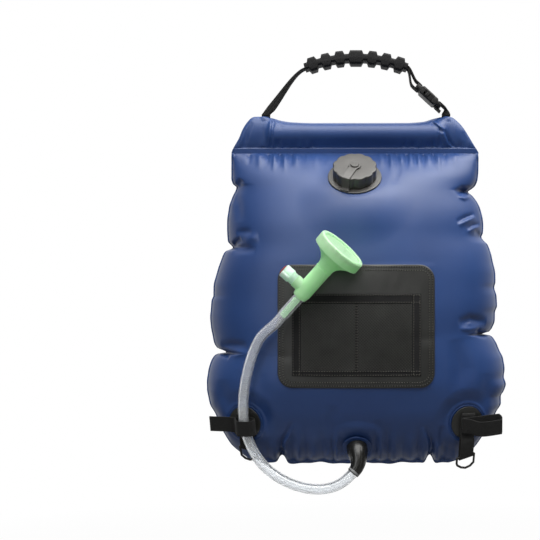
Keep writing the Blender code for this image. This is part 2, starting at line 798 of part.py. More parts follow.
def build_sleeve():
    sleeve_sheet("sleeve_front", -1)
    sleeve_sheet("sleeve_back", 1)
    along = frame_at(Vector((0, 0, -TUBE_DROP)), Vector((0, 1, 0)), Vector((0, 0, 1)), Vector((1, 0, 0)))
    half = TUBE_LENGTH / 2
    bore = TUBE_RADIUS - TUBE_WALL
    profile = ((bore, -half), (TUBE_RADIUS, -half), (TUBE_RADIUS, half), (bore, half))
    turned("hanger_tube", along, profile, TUBE_PLASTIC)


# Webbing runs in the plane of the bag: each ring has a size in the plane and one along Y

def strap_ring(centre, direction, in_plane, along_y, level=False):
    side = Vector((direction.z, 0, -direction.x)).normalized()
    if level:
        side = Vector((math.copysign(1, side.x), 0, 0))
    a, b = side * (in_plane / 2), Vector((0, along_y / 2, 0))
    return [centre + a - b, centre + a + b, centre - a + b, centre - a - b]


def strap_directions(path):
    directions = []
    for i in range(len(path)):
        ahead = path[min(i + 1, len(path) - 1)]
        behind = path[max(i - 1, 0)]
        directions.append((ahead - behind).normalized())
    return directions


def grip_radius():
    return (GRIP_CHORD**2 / 4 + GRIP_SAG**2) / (2 * GRIP_SAG)


def grip_point(angle, lift=0.0):
    """A point on the grip's arc. The centre rib's underside is at height zero."""
    radius = grip_radius()
    face = (RIB_LENGTH + CENTRE_RIB_EXTRA) / 2 - RIB_SLOPE
    centre = (RIB_HEIGHT / 2 - radius) * math.cos(face / radius)
    reach = radius + lift
    return Vector((reach * math.sin(angle), 0, centre + reach * math.cos(angle)))


def grip_half_angle():
    return math.asin(GRIP_CHORD / 2 / grip_radius())


def grip_frame(angle):
    out = Vector((math.cos(angle), 0, -math.sin(angle)))
    up = Vector((math.sin(angle), 0, math.cos(angle)))
    return frame_at(grip_point(angle), Vector((0, 1, 0)), up, out)


def buckle_frame():
    slope = math.radians(BUCKLE_SLOPE_DEG)
    out = Vector((math.cos(slope), 0, -math.sin(slope)))
    up = Vector((math.sin(slope), 0, math.cos(slope)))
    return frame_at(Vector((BUCKLE_X, 0, -BUCKLE_DROP)), Vector((0, 1, 0)), up, out)


def bar_wrap(end):
    """Centre line of webbing round a buckle's end bar, as (height, length) in its frame.
    end is -1 at the socket's end and 1 at the plug's."""
    reach = TOUCH_GAP + WEBBING_THICKNESS / 2
    edge = BUCKLE_HALF_LENGTH - BAR_DEPTH
    top = BAR_HEIGHT / 2
    slant = reach * math.sin(math.pi / 4)
    return [
        (-top - reach, end * (BUCKLE_HALF_LENGTH + BAR_DEPTH)), (-top - reach, end * edge),
        (-top - slant, end * (edge - slant)), (-top, end * (edge - reach)),
        (top, end * (edge - reach)), (top + slant, end * (edge - slant)),
        (top + reach, end * edge), (top + reach, end * (BUCKLE_HALF_LENGTH + BAR_DEPTH)),
    ]


def exit_point(side):
    return Vector((side * EXIT_X, 0, -SWING_DROP))


def layer_lift():
    return WEBBING_THICKNESS / 2 + TOUCH_GAP / 2


def handle_path():
    """From the left exit through the grip, round the socket's bar and back into the grip."""
    half = grip_half_angle()
    lower = [grip_point(-half + 2 * half * i / RUN_STEPS, -layer_lift()) for i in range(RUN_STEPS + 1)]
    start, end = exit_point(-1), lower[0]
    reach = (end - start).length
    heading = (lower[0] - lower[1]).normalized()
    leave = Vector((math.sin(math.radians(EXIT_LEAN_DEG)), 0, math.cos(math.radians(EXIT_LEAN_DEG))))
    left = bezier(start, start + leave * reach * EXIT_RUN_SHARE, end + heading * reach * GRIP_RUN_SHARE,
                  end, RUN_STEPS)
    frame = buckle_frame()
    wrap = [frame @ Vector((0, y, z)) for y, z in bar_wrap(-1)]
    out = (lower[-1] - lower[-2]).normalized()
    span = (wrap[0] - lower[-1]).length
    inward = (wrap[1] - wrap[0]).normalized()
    down = bezier(lower[-1], lower[-1] + out * span * GRIP_RUN_SHARE,
                  wrap[0] - inward * span * GRIP_RUN_SHARE, wrap[0], RUN_STEPS // 2)
    upper = [grip_point(half - 2 * half * i / RUN_STEPS, layer_lift()) for i in range(2)]
    span = (wrap[-1] - upper[0]).length
    back = bezier(wrap[-1], wrap[-1] - inward * span * GRIP_RUN_SHARE,
                  upper[0] + out * span * GRIP_RUN_SHARE, upper[0], RUN_STEPS // 2)
    flat = lower[1:] + down[1:] + wrap[1:] + back[1:] + upper[1:]
    return left, flat


def gathered_rings(path, flat_first, full_share=1.0):
    """Webbing that is flat at one end of the path and gathered at the exit. It is drawn in
    after the share of the path given, and thickens all along it."""
    rings = []
    directions = strap_directions(path)
    for i, centre in enumerate(path):
        t = i / (len(path) - 1)
        passed = t if flat_first else 1 - t
        gather = smooth_step(passed / full_share)
        in_plane = WEBBING_THICKNESS + (GATHER_WIDTH - WEBBING_THICKNESS) * smooth_step(passed)
        along_y = WEBBING_WIDTH + (GATHER_DEPTH - WEBBING_WIDTH) * gather
        at_exit = i == (len(path) - 1 if flat_first else 0)
        if not at_exit:
            in_plane *= 1 - GATHER_SQUEEZE_SHARE * gather
        rings.append(strap_ring(centre, directions[i], in_plane, along_y, level=at_exit))
    return rings


def rounded_end(side, down):
    """Two shorter rings that round a gathered end about the swing axis."""
    centre = exit_point(side)
    rings = []
    for share in ROUND_END_SHARES:
        depth = GATHER_DEPTH * math.sqrt(max(1 - share**2, ROUND_END_BLUNT_SHARE))
        at = centre - Vector((0, 0, GATHER_DEPTH / 2 * share))
        rings.append(strap_ring(at, down, GATHER_WIDTH, depth, level=True))
    return rings


def build_handle_webbing():
    left, flat = handle_path()
    up = (left[1] - left[0]).normalized()
    rings = list(reversed(rounded_end(-1, up))) + gathered_rings(left, flat_first=False)
    directions = strap_directions([left[-1]] + flat)[1:]
    for centre, direction in zip(flat, directions):
        rings.append(strap_ring(centre, direction, WEBBING_THICKNESS, WEBBING_WIDTH))
    return lofted("handle_webbing", rings, BLACK_WEBBING)


def build_anchor_webbing():
    """Short webbing from its sewn end under the plug, round the bar and down to the right exit."""
    frame = buckle_frame()
    wrap = [frame @ Vector((0, y, z)) for y, z in bar_wrap(1)]
    end = exit_point(1)
    heading = (wrap[-1] - wrap[-2]).normalized()
    reach = (end - wrap[-1]).length
    drop = bezier(wrap[-1], wrap[-1] + heading * reach * EXIT_RUN_SHARE,
                  end + Vector((0, 0, reach * EXIT_RUN_SHARE)), end, RUN_STEPS // 2)
    rings = []
    directions = strap_directions(wrap + drop[1:])
    for centre, direction in list(zip(wrap, directions))[:-1]:
        rings.append(strap_ring(centre, direction, WEBBING_THICKNESS, WEBBING_WIDTH))
    rings += gathered_rings(drop, flat_first=True, full_share=ANCHOR_GATHER_SHARE)
    rings += rounded_end(1, Vector((0, 0, -1)))
    return lofted("anchor_webbing", rings, BLACK_WEBBING)


def build_core_webbing():
    """Gathered webbing from the left exit through the tube to the right exit."""
    top = -SWING_DROP - GATHER_DEPTH / 2 - TOUCH_GAP
    axis = -TUBE_DROP
    end = Vector((-TUBE_LENGTH / 2 + TUBE_RADIUS, 0, axis))
    start = Vector((-EXIT_X, 0, top))
    fall = (start.z - axis) * CORE_FALL_SHARE
    left = bezier(start, start - Vector((0, 0, fall)), end - Vector((fall, 0, 0)), end, RUN_STEPS)
    right = [Vector((-p.x, 0, p.z)) for p in reversed(left)]
    path = left + right
    rings = []
    for i, (centre, direction) in enumerate(zip(path, strap_directions(path))):
        inward = min(i, len(path) - 1 - i) / RUN_STEPS
        in_plane = GATHER_WIDTH + (GATHER_DEPTH - GATHER_WIDTH) * smooth_step(inward * 2)
        along_y = GATHER_DEPTH + (CORE_WIDTH - GATHER_DEPTH) * smooth_step(inward * 4 - 3)
        level = i in (0, len(path) - 1)
        rings.append(strap_ring(centre, direction, in_plane, along_y, level))
    return lofted("core_webbing", rings, BLACK_WEBBING)


# Ribbed grip

def rib_spans():
    """Start and end of each rib along the arc."""
    spans = [(-(RIB_LENGTH + CENTRE_RIB_EXTRA) / 2, (RIB_LENGTH + CENTRE_RIB_EXTRA) / 2)]
    for i in range(1, RIBS_EACH_SIDE + 1):
        middle = i * RIB_PITCH + CENTRE_RIB_EXTRA / 2
        for side in (-1, 1):
            spans.append((side * middle - RIB_LENGTH / 2, side * middle + RIB_LENGTH / 2))
    return sorted(spans)


def build_grip():
    half = grip_half_angle()
    radius = grip_radius()
    stations = [(-radius * half, GRIP_BAND)]
    for low, high in rib_spans():
        stations += [(low, GRIP_BAND), (low + RIB_SLOPE, RIB_HEIGHT)]
        stations += [(high - RIB_SLOPE, RIB_HEIGHT), (high, GRIP_BAND)]
    stations.append((radius * half, GRIP_BAND))
    rings = []
    for along, height in stations:
        frame = grip_frame(along / radius)
        rings.append(chamfered(frame, GRIP_WIDTH, height, GRIP_CHAMFER, 0))
    grip = lofted("grip", rings, BLACK_RUBBER)
    slot_width = WEBBING_WIDTH + 2 * WEBBING_FIT
    slot_height = 2 * WEBBING_THICKNESS + TOUCH_GAP + 2 * WEBBING_FIT
    reach = half + CUT_OVERRUN / radius
    rings = []
    for i in range(RUN_STEPS + 1):
        frame = grip_frame(-reach + 2 * reach * i / RUN_STEPS)
        rings.append(rectangle(frame, slot_width, slot_height, 0))
    return cut(grip, lofted("grip_slot", rings, BLACK_RUBBER))


# Side-release buckle

def buckle_half(name, end):
    """Socket shell at end -1 or plug base at end 1, with its bar and webbing slot."""
    frame = buckle_frame()
    edge = BUCKLE_HALF_LENGTH - BAR_DEPTH
    shoulder = edge - SLOT_LENGTH
    sizes = [
        (BUCKLE_HALF_LENGTH, BUCKLE_WIDTH - 2 * BUCKLE_CHAMFER, BAR_HEIGHT - BUCKLE_CHAMFER / 2),
        (BUCKLE_HALF_LENGTH - BUCKLE_CHAMFER / 2, BUCKLE_WIDTH - BUCKLE_CHAMFER, BAR_HEIGHT),
        (edge - SLOT_LENGTH / 2, BUCKLE_WIDTH, BAR_HEIGHT),
        (shoulder - BUCKLE_CHAMFER, BUCKLE_WIDTH, BUCKLE_THICKNESS),
    ]
    stop = -BUCKLE_SPLIT if end < 0 else BUCKLE_SPLIT + TOUCH_GAP
    sizes.append((stop, BUCKLE_WIDTH, BUCKLE_THICKNESS))
    rings = [chamfered(frame, w, h, BUCKLE_CHAMFER, end * at) for at, w, h in sizes]
    if end > 0:
        rings.reverse()
    half = lofted(name, rings, BLACK_PLASTIC)
    slot_low, slot_high = sorted((end * shoulder, end * edge))
    slot = box_guide(name + "_slot", frame, WEBBING_WIDTH + 2 * TOUCH_GAP,
                     BUCKLE_THICKNESS + CUT_OVERRUN, slot_low, slot_high)
    return cut(half, slot)


def build_buckle():
    frame = buckle_frame()
    socket = buckle_half("buckle_socket", -1)
    cavity = box_guide("buckle_cavity", frame, BUCKLE_CAVITY_WIDTH, BUCKLE_CAVITY_HEIGHT,
                       -BUCKLE_CAVITY_END, BUCKLE_SPLIT + CUT_OVERRUN)
    window = box_guide("buckle_window", frame, BUCKLE_WIDTH + CUT_OVERRUN, BUCKLE_CAVITY_HEIGHT,
                       -WINDOW_TOP, WINDOW_BOTTOM)
    cut(socket, cavity)
    cut(socket, window)
    plug = buckle_half("buckle_plug", 1)
    tongue = box_guide("buckle_tongue", frame, TONGUE_WIDTH, BUCKLE_CAVITY_HEIGHT - 2 * PRONG_FIT,
                       -TONGUE_REACH, BUCKLE_SPLIT + TOUCH_GAP + BUCKLE_CHAMFER)
    add(plug, tongue)
    for name, side in (("buckle_prong_front", -1), ("buckle_prong_back", 1)):
        build_prong(name, frame, side)


def build_prong(name, frame, side):
    """A flat springy prong, its outline drawn in the buckle's plane and given a thickness."""
    pivot_z = BUCKLE_SPLIT - PRONG_PIVOT_BACK
    arm = PRONG_ARM / 2
    slant = arm * PRONG_ROUND_SHARE
    slope_out, slope_down = (arm * share for share in PRONG_SLOPE_SHARES)
    outline = [
        (PRONG_PIVOT_X + arm, pivot_z), (PRONG_PIVOT_X + slant, pivot_z + slant),
        (PRONG_PIVOT_X, pivot_z + arm), (PRONG_PIVOT_X - slant, pivot_z + slant),
        (PRONG_PIVOT_X - arm, pivot_z), (PRONG_HEAD_IN, -WINDOW_BOTTOM),
        (PRONG_HEAD_IN, -PRONG_HEAD_TOP), (PRONG_HEAD_OUT - slope_out, -PRONG_HEAD_TOP),
        (PRONG_HEAD_OUT, -PRONG_HEAD_TOP + slope_down),
        (PRONG_HEAD_OUT, WINDOW_BOTTOM - PRONG_FIT - arm / 2),
        (PRONG_HEAD_OUT - arm / 2, WINDOW_BOTTOM - PRONG_FIT),
        (PRONG_PIVOT_X + arm, WINDOW_BOTTOM - PRONG_FIT),
    ]
    half = BUCKLE_CAVITY_HEIGHT / 2 - PRONG_FIT
    rings = [[frame @ Vector((side * x, y, z)) for x, z in outline] for y in (-half, half)]
    if side > 0:
        rings.reverse()
    pivot = frame @ Vector((side * PRONG_PIVOT_X, 0, pivot_z))
    return lofted(name, rings, BLACK_PLASTIC, origin=pivot)


# Filler neck and screw cap, in the frame of the filler seat

def filler_base():
    """Height of the flange's underside above the seat's plane."""
    return FILM_THICKNESS + TOUCH_GAP


def cap_floor():
    return filler_base() + FLANGE_THICKNESS + CAP_LIFT


def build_filler():
    low = filler_base()
    top = low + FLANGE_THICKNESS
    profile = (
        (NECK_BORE_RADIUS, low), (FLANGE_RADIUS, low), (FLANGE_RADIUS, top - FLANGE_THICKNESS / 3),
        (FLANGE_RADIUS - FLANGE_THICKNESS / 3, top), (NECK_RADIUS, top),
        (NECK_RADIUS, top + NECK_HEIGHT), (NECK_BORE_RADIUS, top + NECK_HEIGHT),
    )
    turned("filler_neck", FILLER_SEAT.frame, profile, BLACK_PLASTIC, steps=32)


def cap_swell(radius, height, angle):
    """Shallow scallops on the outside of the cap."""
    if radius < CAP_INNER_RADIUS + CAP_EDGE:
        return radius
    return radius - CAP_SCALLOP_DEPTH * ((1 + math.cos(CAP_SCALLOPS * angle)) / 2) ** 2


def build_cap():
    frame = FILLER_SEAT.frame
    low = cap_floor()
    top = low + CAP_HEIGHT
    ceiling = top - CAP_TOP_WALL
    hole = PIN_RADIUS + TOUCH_GAP
    profile = (
        (CAP_INNER_RADIUS, low), (CAP_RADIUS, low), (CAP_RADIUS, top - CAP_EDGE),
        (CAP_RADIUS - CAP_EDGE, top), (hole, top), (hole, ceiling), (CAP_INNER_RADIUS, ceiling),
    )
    turned("cap", frame, profile, BLACK_PLASTIC, steps=48, swell=cap_swell)
    seal_top = ceiling - TOUCH_GAP
    seal = ((hole, seal_top - GASKET_THICKNESS), (GASKET_RADIUS, seal_top - GASKET_THICKNESS),
            (GASKET_RADIUS, seal_top), (hole, seal_top))
    turned("cap_gasket", frame, seal, BLACK_RUBBER)
    build_tether(frame, top)


def build_tether(frame, top):
    """The strap round the cap's pin, over the edge and down to the flange."""
    strap_low = top + TOUCH_GAP
    strap_top = strap_low + TETHER_THICKNESS
    head_low = strap_top + TOUCH_GAP
    tip = top - CAP_TOP_WALL - GASKET_THICKNESS - TOUCH_GAP
    head_top = head_low + PIN_HEAD_HEIGHT
    pin = (
        (0, tip), (PIN_RADIUS, tip), (PIN_RADIUS, head_low), (PIN_HEAD_RADIUS, head_low),
        (PIN_HEAD_RADIUS - PIN_HEAD_HEIGHT / 2, head_top), (0, head_top),
    )
    turned("tether_pin", frame, pin, BLACK_PLASTIC, steps=16)
    turn = math.radians(TETHER_TURN_DEG)
    out = Vector((math.cos(turn), math.sin(turn), 0))
    across = Vector((-math.sin(turn), math.cos(turn), 0))
    reach = CAP_RADIUS + TOUCH_GAP + TETHER_THICKNESS / 2
    middle = (strap_low + strap_top) / 2
    foot = filler_base() + FLANGE_THICKNESS + TOUCH_GAP + TETHER_THICKNESS / 2
    bend = TETHER_THICKNESS
    nip = bend * TETHER_BEND_SHARE
    path = [
        (PIN_RADIUS + TOUCH_GAP, middle), (TETHER_RING_RADIUS, middle), (reach - bend, middle),
        (reach - nip, middle - nip), (reach, middle - bend), (reach, foot + bend),
        (reach + nip, foot + nip), (reach + bend, foot), (reach + bend + TETHER_FOOT, foot),
    ]
    rings = []
    for i, (radius, height) in enumerate(path):
        ahead, behind = path[min(i + 1, len(path) - 1)], path[max(i - 1, 0)]
        run = Vector((ahead[0] - behind[0], ahead[1] - behind[1])).normalized()
        side = out * -run.y + Vector((0, 0, run.x))
        centre = out * radius + Vector((0, 0, height))
        wide = across * (TETHER_WIDTH / 2)
        thick = side * (TETHER_THICKNESS / 2)
        low, high = centre - thick, centre + thick
        rings.append([frame @ p for p in (low - wide, low + wide, high + wide, high - wide)])
    strap = lofted("cap_tether", rings, BLACK_RUBBER)
    add(strap, tube_guide("tether_ring", frame, TETHER_RING_RADIUS, strap_low, strap_top))
    cut(strap, tube_guide("tether_hole", frame, PIN_RADIUS + TOUCH_GAP, strap_low - CUT_OVERRUN,
                          strap_top + CUT_OVERRUN, steps=16))


# Outlet flange and spout

def spout_path():
    """The spout leaves its flange square and bends down to where the hose starts."""
    frame = OUTLET_SEAT.frame
    start = frame @ Vector((0, 0, FILM_THICKNESS + 2 * TOUCH_GAP + OUTLET_FLANGE_THICKNESS))
    first, second = hose_points()[:2]
    heading = (second - first).normalized()
    end = first - heading * TOUCH_GAP
    reach = (end - start).length
    root = start + OUTLET_SEAT.out * SPOUT_ROOT
    return bezier(start, root, end - heading * reach * SPOUT_RUN_SHARE, end, SPOUT_STEPS)


def round_ring(centre, direction, radius, steps):
    side = Vector((1, 0, 0))
    side = (side - direction * side.dot(direction)).normalized()
    up = direction.cross(side)
    ring = []
    for k in range(steps):
        angle = 2 * math.pi * k / steps
        ring.append(centre + (side * math.cos(angle) + up * math.sin(angle)) * radius)
    return ring


def build_outlet():
    low = FILM_THICKNESS + TOUCH_GAP
    high = low + OUTLET_FLANGE_THICKNESS
    profile = ((SPOUT_BORE_RADIUS, low), (OUTLET_FLANGE_RADIUS, low), (OUTLET_FLANGE_RADIUS, high),
               (SPOUT_BORE_RADIUS, high))
    turned("outlet_flange", OUTLET_SEAT.frame, profile, BLACK_VINYL)
    path = spout_path()
    directions = strap_directions(path)
    first, second = hose_points()[:2]
    directions[0], directions[-1] = OUTLET_SEAT.out, (second - first).normalized()
    outer, bore = [], []
    for i, (centre, direction) in enumerate(zip(path, directions)):
        t = i / SPOUT_STEPS
        radius = SPOUT_BASE_RADIUS + (SPOUT_TIP_RADIUS - SPOUT_BASE_RADIUS) * t**SPOUT_TAPER_POWER
        outer.append(round_ring(centre, direction, radius, 20))
        bore.append(round_ring(centre, direction, SPOUT_BORE_RADIUS, SMALL_STEPS))
    spout = lofted("outlet_spout", outer, BLACK_RUBBER)
    first, last = directions[0] * CUT_OVERRUN, directions[-1] * CUT_OVERRUN
    bore = [[p - first for p in bore[0]]] + bore[1:-1] + [[p + last for p in bore[-1]]]
    cut(spout, lofted("spout_bore", bore, BLACK_RUBBER))


def hose_route():
    """Places that the hose passes, tied to the chamber, its patches and the shower head."""
    bottom = down_chamber(1)
    route = []
    for across, out, up in HOSE_LOW_SHARES:
        route.append((across * patch_x(), -out * CHAMBER_DEPTH_FRONT, bottom + up * PATCH_RISE))
    start = route[-1][2]
    rise = head_base().z - start
    for across, out, up in HOSE_HIGH_SHARES:
        route.append((across * patch_x(), -out * CHAMBER_DEPTH_FRONT, start + up * rise))
    return route


def hose_points():
    """Centre line of the hose. Its last stretch runs straight into the shower head."""
    points = through_points(hose_route(), HOSE_POINTS)
    axis = head_frame().col[2].to_3d()
    spacing = (points[-1] - points[-2]).length
    points[-1] = points[-1] - axis * TOUCH_GAP
    points[-2] = points[-1] - axis * spacing
    return points


def build_hose():
    line = bpy.data.curves.new("hose", "CURVE")
    line.dimensions = "3D"
    line.bevel_depth = HOSE_RADIUS
    line.bevel_resolution = 3
    line.use_fill_caps = True
    spline = line.splines.new("POLY")
    points = hose_points()
    spline.points.add(len(points) - 1)
    for slot, point in zip(spline.points, points):
        slot.co = (*point, 1)
    line.materials.append(CLEAR_HOSE)
    hose = bpy.data.objects.new("hose", line)
    bpy.context.scene.collection.objects.link(hose)


# Shower head

def head_base():
    """Where the hose ends at the barb's tip."""
    return Vector((patch_x() * HEAD_BASE_X_SHARE, -CHAMBER_DEPTH_FRONT * HEAD_BASE_OUT_SHARE,
                   down_chamber(HEAD_BASE_DOWN_SHARE)))


def head_frame():
    """Z from the hose to the rose, X out through the valve, Y toward the viewer."""
    lean, nod = math.radians(HEAD_LEAN_DEG), math.radians(HEAD_TOWARD_VIEWER_DEG)
    axis = Vector((math.sin(lean) * math.cos(nod), -math.sin(nod), math.cos(lean) * math.cos(nod)))
    valve = Vector((-math.cos(lean), 0, math.sin(lean)))
    return frame_at(head_base(), valve, axis.cross(valve), axis)


def valve_frame(turn_deg=0.0):
    """Z out through the valve's knob, X along the head."""
    head = head_frame()
    valve, side, axis = (head.col[i].to_3d() for i in range(3))
    frame = frame_at(head @ Vector((0, 0, VALVE_HEIGHT)), axis, valve.cross(axis), valve)
    return frame @ Matrix.Rotation(math.radians(turn_deg), 4, "Z")


def build_head_body():
    frame = head_frame()
    foot = BARB_LENGTH + TOUCH_GAP
    neck = foot + TEE_LENGTH
    profile = [(0, 0), (BARB_RADIUS - BARB_RIDGE, 0)]
    pitch = BARB_LENGTH / BARB_RIDGES
    for i in range(BARB_RIDGES):
        profile.append((BARB_RADIUS, pitch * (i + BARB_RIDGE_SHARES[0])))
        profile.append((BARB_RADIUS - BARB_RIDGE, pitch * (i + BARB_RIDGE_SHARES[1])))
    profile += [
        (BARB_RADIUS - BARB_RIDGE, foot), (TEE_FOOT_RADIUS, foot), (TEE_RADIUS, foot + TEE_FOOT_LENGTH),
        (TEE_RADIUS, neck - NECK_BEAD_LENGTH), (NECK_BEAD_RADIUS, neck - NECK_BEAD_LENGTH / 2),
        (TEE_RADIUS, neck), (0, neck),
    ]
    body = turned("head_body", frame, profile, MINT_PLASTIC)
    valve = valve_frame(VALVE_GUIDE_TURN_DEG)
    boss = tube_guide("valve_boss", valve, VALVE_BOSS_RADIUS, TEE_RADIUS / 2, VALVE_BOSS_REACH, 22)
    along = frame @ Matrix.Rotation(math.radians(VALVE_GUIDE_TURN_DEG), 4, "Z")
    water = tube_guide("head_water_way", along, VALVE_WATER_RADIUS, -CUT_OVERRUN,
                       neck + CUT_OVERRUN, SMALL_STEPS)
    bore = tube_guide("valve_bore", valve, VALVE_BORE_RADIUS, -TEE_RADIUS + TEE_WALL,
                      VALVE_BOSS_REACH + CUT_OVERRUN, 20)
    add(body, boss)
    cut(body, water)
    cut(body, bore)


def build_valve():
    frame = valve_frame()
    floor = -TEE_RADIUS + TEE_WALL + TOUCH_GAP
    knob_low = VALVE_BOSS_REACH + TOUCH_GAP
    groove = VALVE_BOSS_REACH - VALVE_RING_RADIUS * 6
    inner = VALVE_PLUG_RADIUS - VALVE_RING_RADIUS * 2
    plug = (
        (0, floor), (VALVE_PLUG_RADIUS, floor), (VALVE_PLUG_RADIUS, groove),
        (inner, groove), (inner, groove + VALVE_RING_RADIUS * 3),
        (VALVE_PLUG_RADIUS, groove + VALVE_RING_RADIUS * 3), (VALVE_PLUG_RADIUS, knob_low + KNOB_STEP / 2),
        (0, knob_low + KNOB_STEP / 2),
    )
    stem = turned("valve_plug", frame, plug, PALE_MINT_PLASTIC, steps=20)
    port = head_frame() @ Matrix.Translation((0, 0, VALVE_HEIGHT))
    cut(stem, tube_guide("valve_port", port, VALVE_PORT_RADIUS, -TEE_RADIUS, TEE_RADIUS, SMALL_STEPS))
    seal_low = groove + TOUCH_GAP
    seal_high = groove + VALVE_RING_RADIUS * 3 - TOUCH_GAP
    seal = ((inner + TOUCH_GAP / 3, seal_low), (VALVE_PLUG_RADIUS, seal_low), (VALVE_PLUG_RADIUS, seal_high),
            (inner + TOUCH_GAP / 3, seal_high))
    turned("valve_ring", frame, seal, BLACK_RUBBER, steps=20)
    build_knob(frame, knob_low)


def build_knob(frame, low):
    top = low + KNOB_LENGTH
    step = low + KNOB_STEP
    rim = KNOB_RADIUS - MARKER_RADIUS
    profile = (
        (0, low), (KNOB_STEP_RADIUS, low), (KNOB_STEP_RADIUS, step), (KNOB_RADIUS, step + rim / 2),
        (KNOB_RADIUS, top - rim / 2), (KNOB_RADIUS - rim / 2, top), (0, top),
    )
    knob = turned("valve_knob", frame, profile, PALE_MINT_PLASTIC)
    wing = box_guide("knob_wings", frame, KNOB_WING_THICKNESS, KNOB_WING_REACH * 2, step + rim,
                     step + rim + KNOB_WING_LENGTH)
    add(knob, wing)
    cut(knob, tube_guide("knob_socket", frame, VALVE_PLUG_RADIUS + TOUCH_GAP / 3, low - CUT_OVERRUN,
                         low + KNOB_STEP / 2 + TOUCH_GAP, 20))
    seat = MARKER_THICKNESS
    cut(knob, tube_guide("marker_recess", frame, MARKER_RADIUS + TOUCH_GAP, top - seat, top + CUT_OVERRUN))
    marker = ((0, top - seat + TOUCH_GAP), (MARKER_RADIUS, top - seat + TOUCH_GAP), (MARKER_RADIUS, top),
              (0, top))
    turned("knob_marker", frame, marker, RED_PLASTIC)


def build_hose_end():
    """The end of the hose, pushed over the barb."""
    bore = BARB_RADIUS + HOSE_END_FIT
    profile = ((bore, 0), (HOSE_END_RADIUS, 0), (HOSE_END_RADIUS, BARB_LENGTH), (bore, BARB_LENGTH))
    turned("hose_end", head_frame(), profile, CLEAR_HOSE, steps=16)


def rose_radius(t):
    return TEE_RADIUS + (ROSE_CONE_RADIUS - TEE_RADIUS) * t**ROSE_FLARE_POWER


def build_rose():
    frame = head_frame()
    low = BARB_LENGTH + TEE_LENGTH + 2 * TOUCH_GAP
    high = low + ROSE_CONE_LENGTH
    steps = 5
    outside = [(rose_radius(i / steps), low + ROSE_CONE_LENGTH * i / steps) for i in range(steps + 1)]
    inside = [(max(r - ROSE_WALL, VALVE_WATER_RADIUS), z) for r, z in reversed(outside[1:])]
    collar = ROSE_CONE_RADIUS
    stack = ROSE_PLATE_RECESS + ROSE_PLATE_THICKNESS + ROSE_SEAL_THICKNESS + 2 * TOUCH_GAP
    wall_top = high + ROSE_RING_HEIGHT - stack
    profile = outside + [(collar, wall_top), (collar - ROSE_WALL, wall_top)] + inside
    profile.append((VALVE_WATER_RADIUS, low))
    turned("rose_cone", frame, profile, MINT_PLASTIC, steps=ROSE_STEPS)
    seal_low = wall_top + TOUCH_GAP
    seal_high = seal_low + ROSE_SEAL_THICKNESS - TOUCH_GAP
    seal = ((collar - ROSE_SEAL_WIDTH, seal_low), (collar, seal_low), (collar, seal_high),
            (collar - ROSE_SEAL_WIDTH, seal_high))
    turned("rose_seal", frame, seal, BLACK_RUBBER, steps=ROSE_STEPS)
    plate_low = seal_high + TOUCH_GAP
    build_rose_plate(frame, collar, plate_low)
    build_rose_ring(frame, collar, high, plate_low + ROSE_PLATE_THICKNESS)


def build_rose_plate(frame, radius, low):
    high = low + ROSE_PLATE_THICKNESS
    plate = turned("rose_plate", frame, ((0, low), (radius, low), (radius, high), (0, high)), MINT_PLASTIC,
                   steps=ROSE_STEPS)
    points, faces = [], []
    for ring in range(ROSE_HOLE_RINGS + 1):
        count = max(6 * ring, 1)
        for k in range(count):
            angle = 2 * math.pi * k / count
            centre = Vector((math.cos(angle), math.sin(angle), 0)) * (ROSE_HOLE_PITCH * ring)
            rings = []
            for at in (low - CUT_OVERRUN, high + CUT_OVERRUN):
                corners = []
                for c in range(6):
                    turn = 2 * math.pi * c / 6
                    edge = Vector((math.cos(turn), math.sin(turn), 0)) * ROSE_HOLE_RADIUS
                    corners.append(frame @ (centre + edge + Vector((0, 0, at))))
                rings.append(corners)
            more_points, more_faces = loft(rings)
            faces += [tuple(i + len(points) for i in face) for face in more_faces]
            points += more_points
    cut(plate, mesh_piece("rose_holes", points, faces, MINT_PLASTIC))


def build_rose_ring(frame, inner, low, plate_top):
    bore = inner + TOUCH_GAP
    top = low + ROSE_RING_HEIGHT

    def ribs(radius, height, angle):
        if radius < bore + ROSE_RIB_DEPTH * 2:
            return radius
        return radius - ROSE_RIB_DEPTH * (round(angle / math.pi * ROSE_RING_RIBS) % 2)

    profile = (
        (bore, low), (ROSE_RING_RADIUS - ROSE_RIB_DEPTH, low), (ROSE_RING_RADIUS, low + ROSE_RIB_DEPTH),
        (ROSE_RING_RADIUS, top - ROSE_RIB_DEPTH * 2), (ROSE_RING_RADIUS - ROSE_RIB_DEPTH * 2, top),
        (inner - ROSE_LIP, top), (inner - ROSE_LIP, plate_top + TOUCH_GAP), (bore, plate_top + TOUCH_GAP),
    )
    turned("rose_ring", frame, profile, MINT_PLASTIC, steps=2 * ROSE_RING_RIBS, swell=ribs)


# Panel, net pockets and their bindings, draped on the front film

def draped(name, x, z, width, height, corner, lift, thickness, material, columns, rows):
    """A thin sheet on the front film, with round corners."""
    front, back = [], []
    bends = 3 if corner > 0 else 0
    stations = [(height / 2 - corner + corner * math.cos(a), corner * (1 - math.sin(a)))
                for a in (math.pi / 2 * i / max(bends, 1) for i in range(bends))]
    straight = height / 2 - corner
    for r in range(rows + 1):
        stations.append((straight * (1 - 2 * r / rows), 0))
    if bends:
        stations += [(-up, inset) for up, inset in reversed(stations[:bends])]
    for up, inset in stations:
        reach = width / 2 - inset
        line = [(x + reach * (-1 + 2 * c / columns), z + up) for c in range(columns + 1)]
        front.append([on_front(px, pz, lift + thickness) for px, pz in line])
        back.append([on_front(px, pz, lift) for px, pz in line])
    return grid_piece(name, front, back, material)


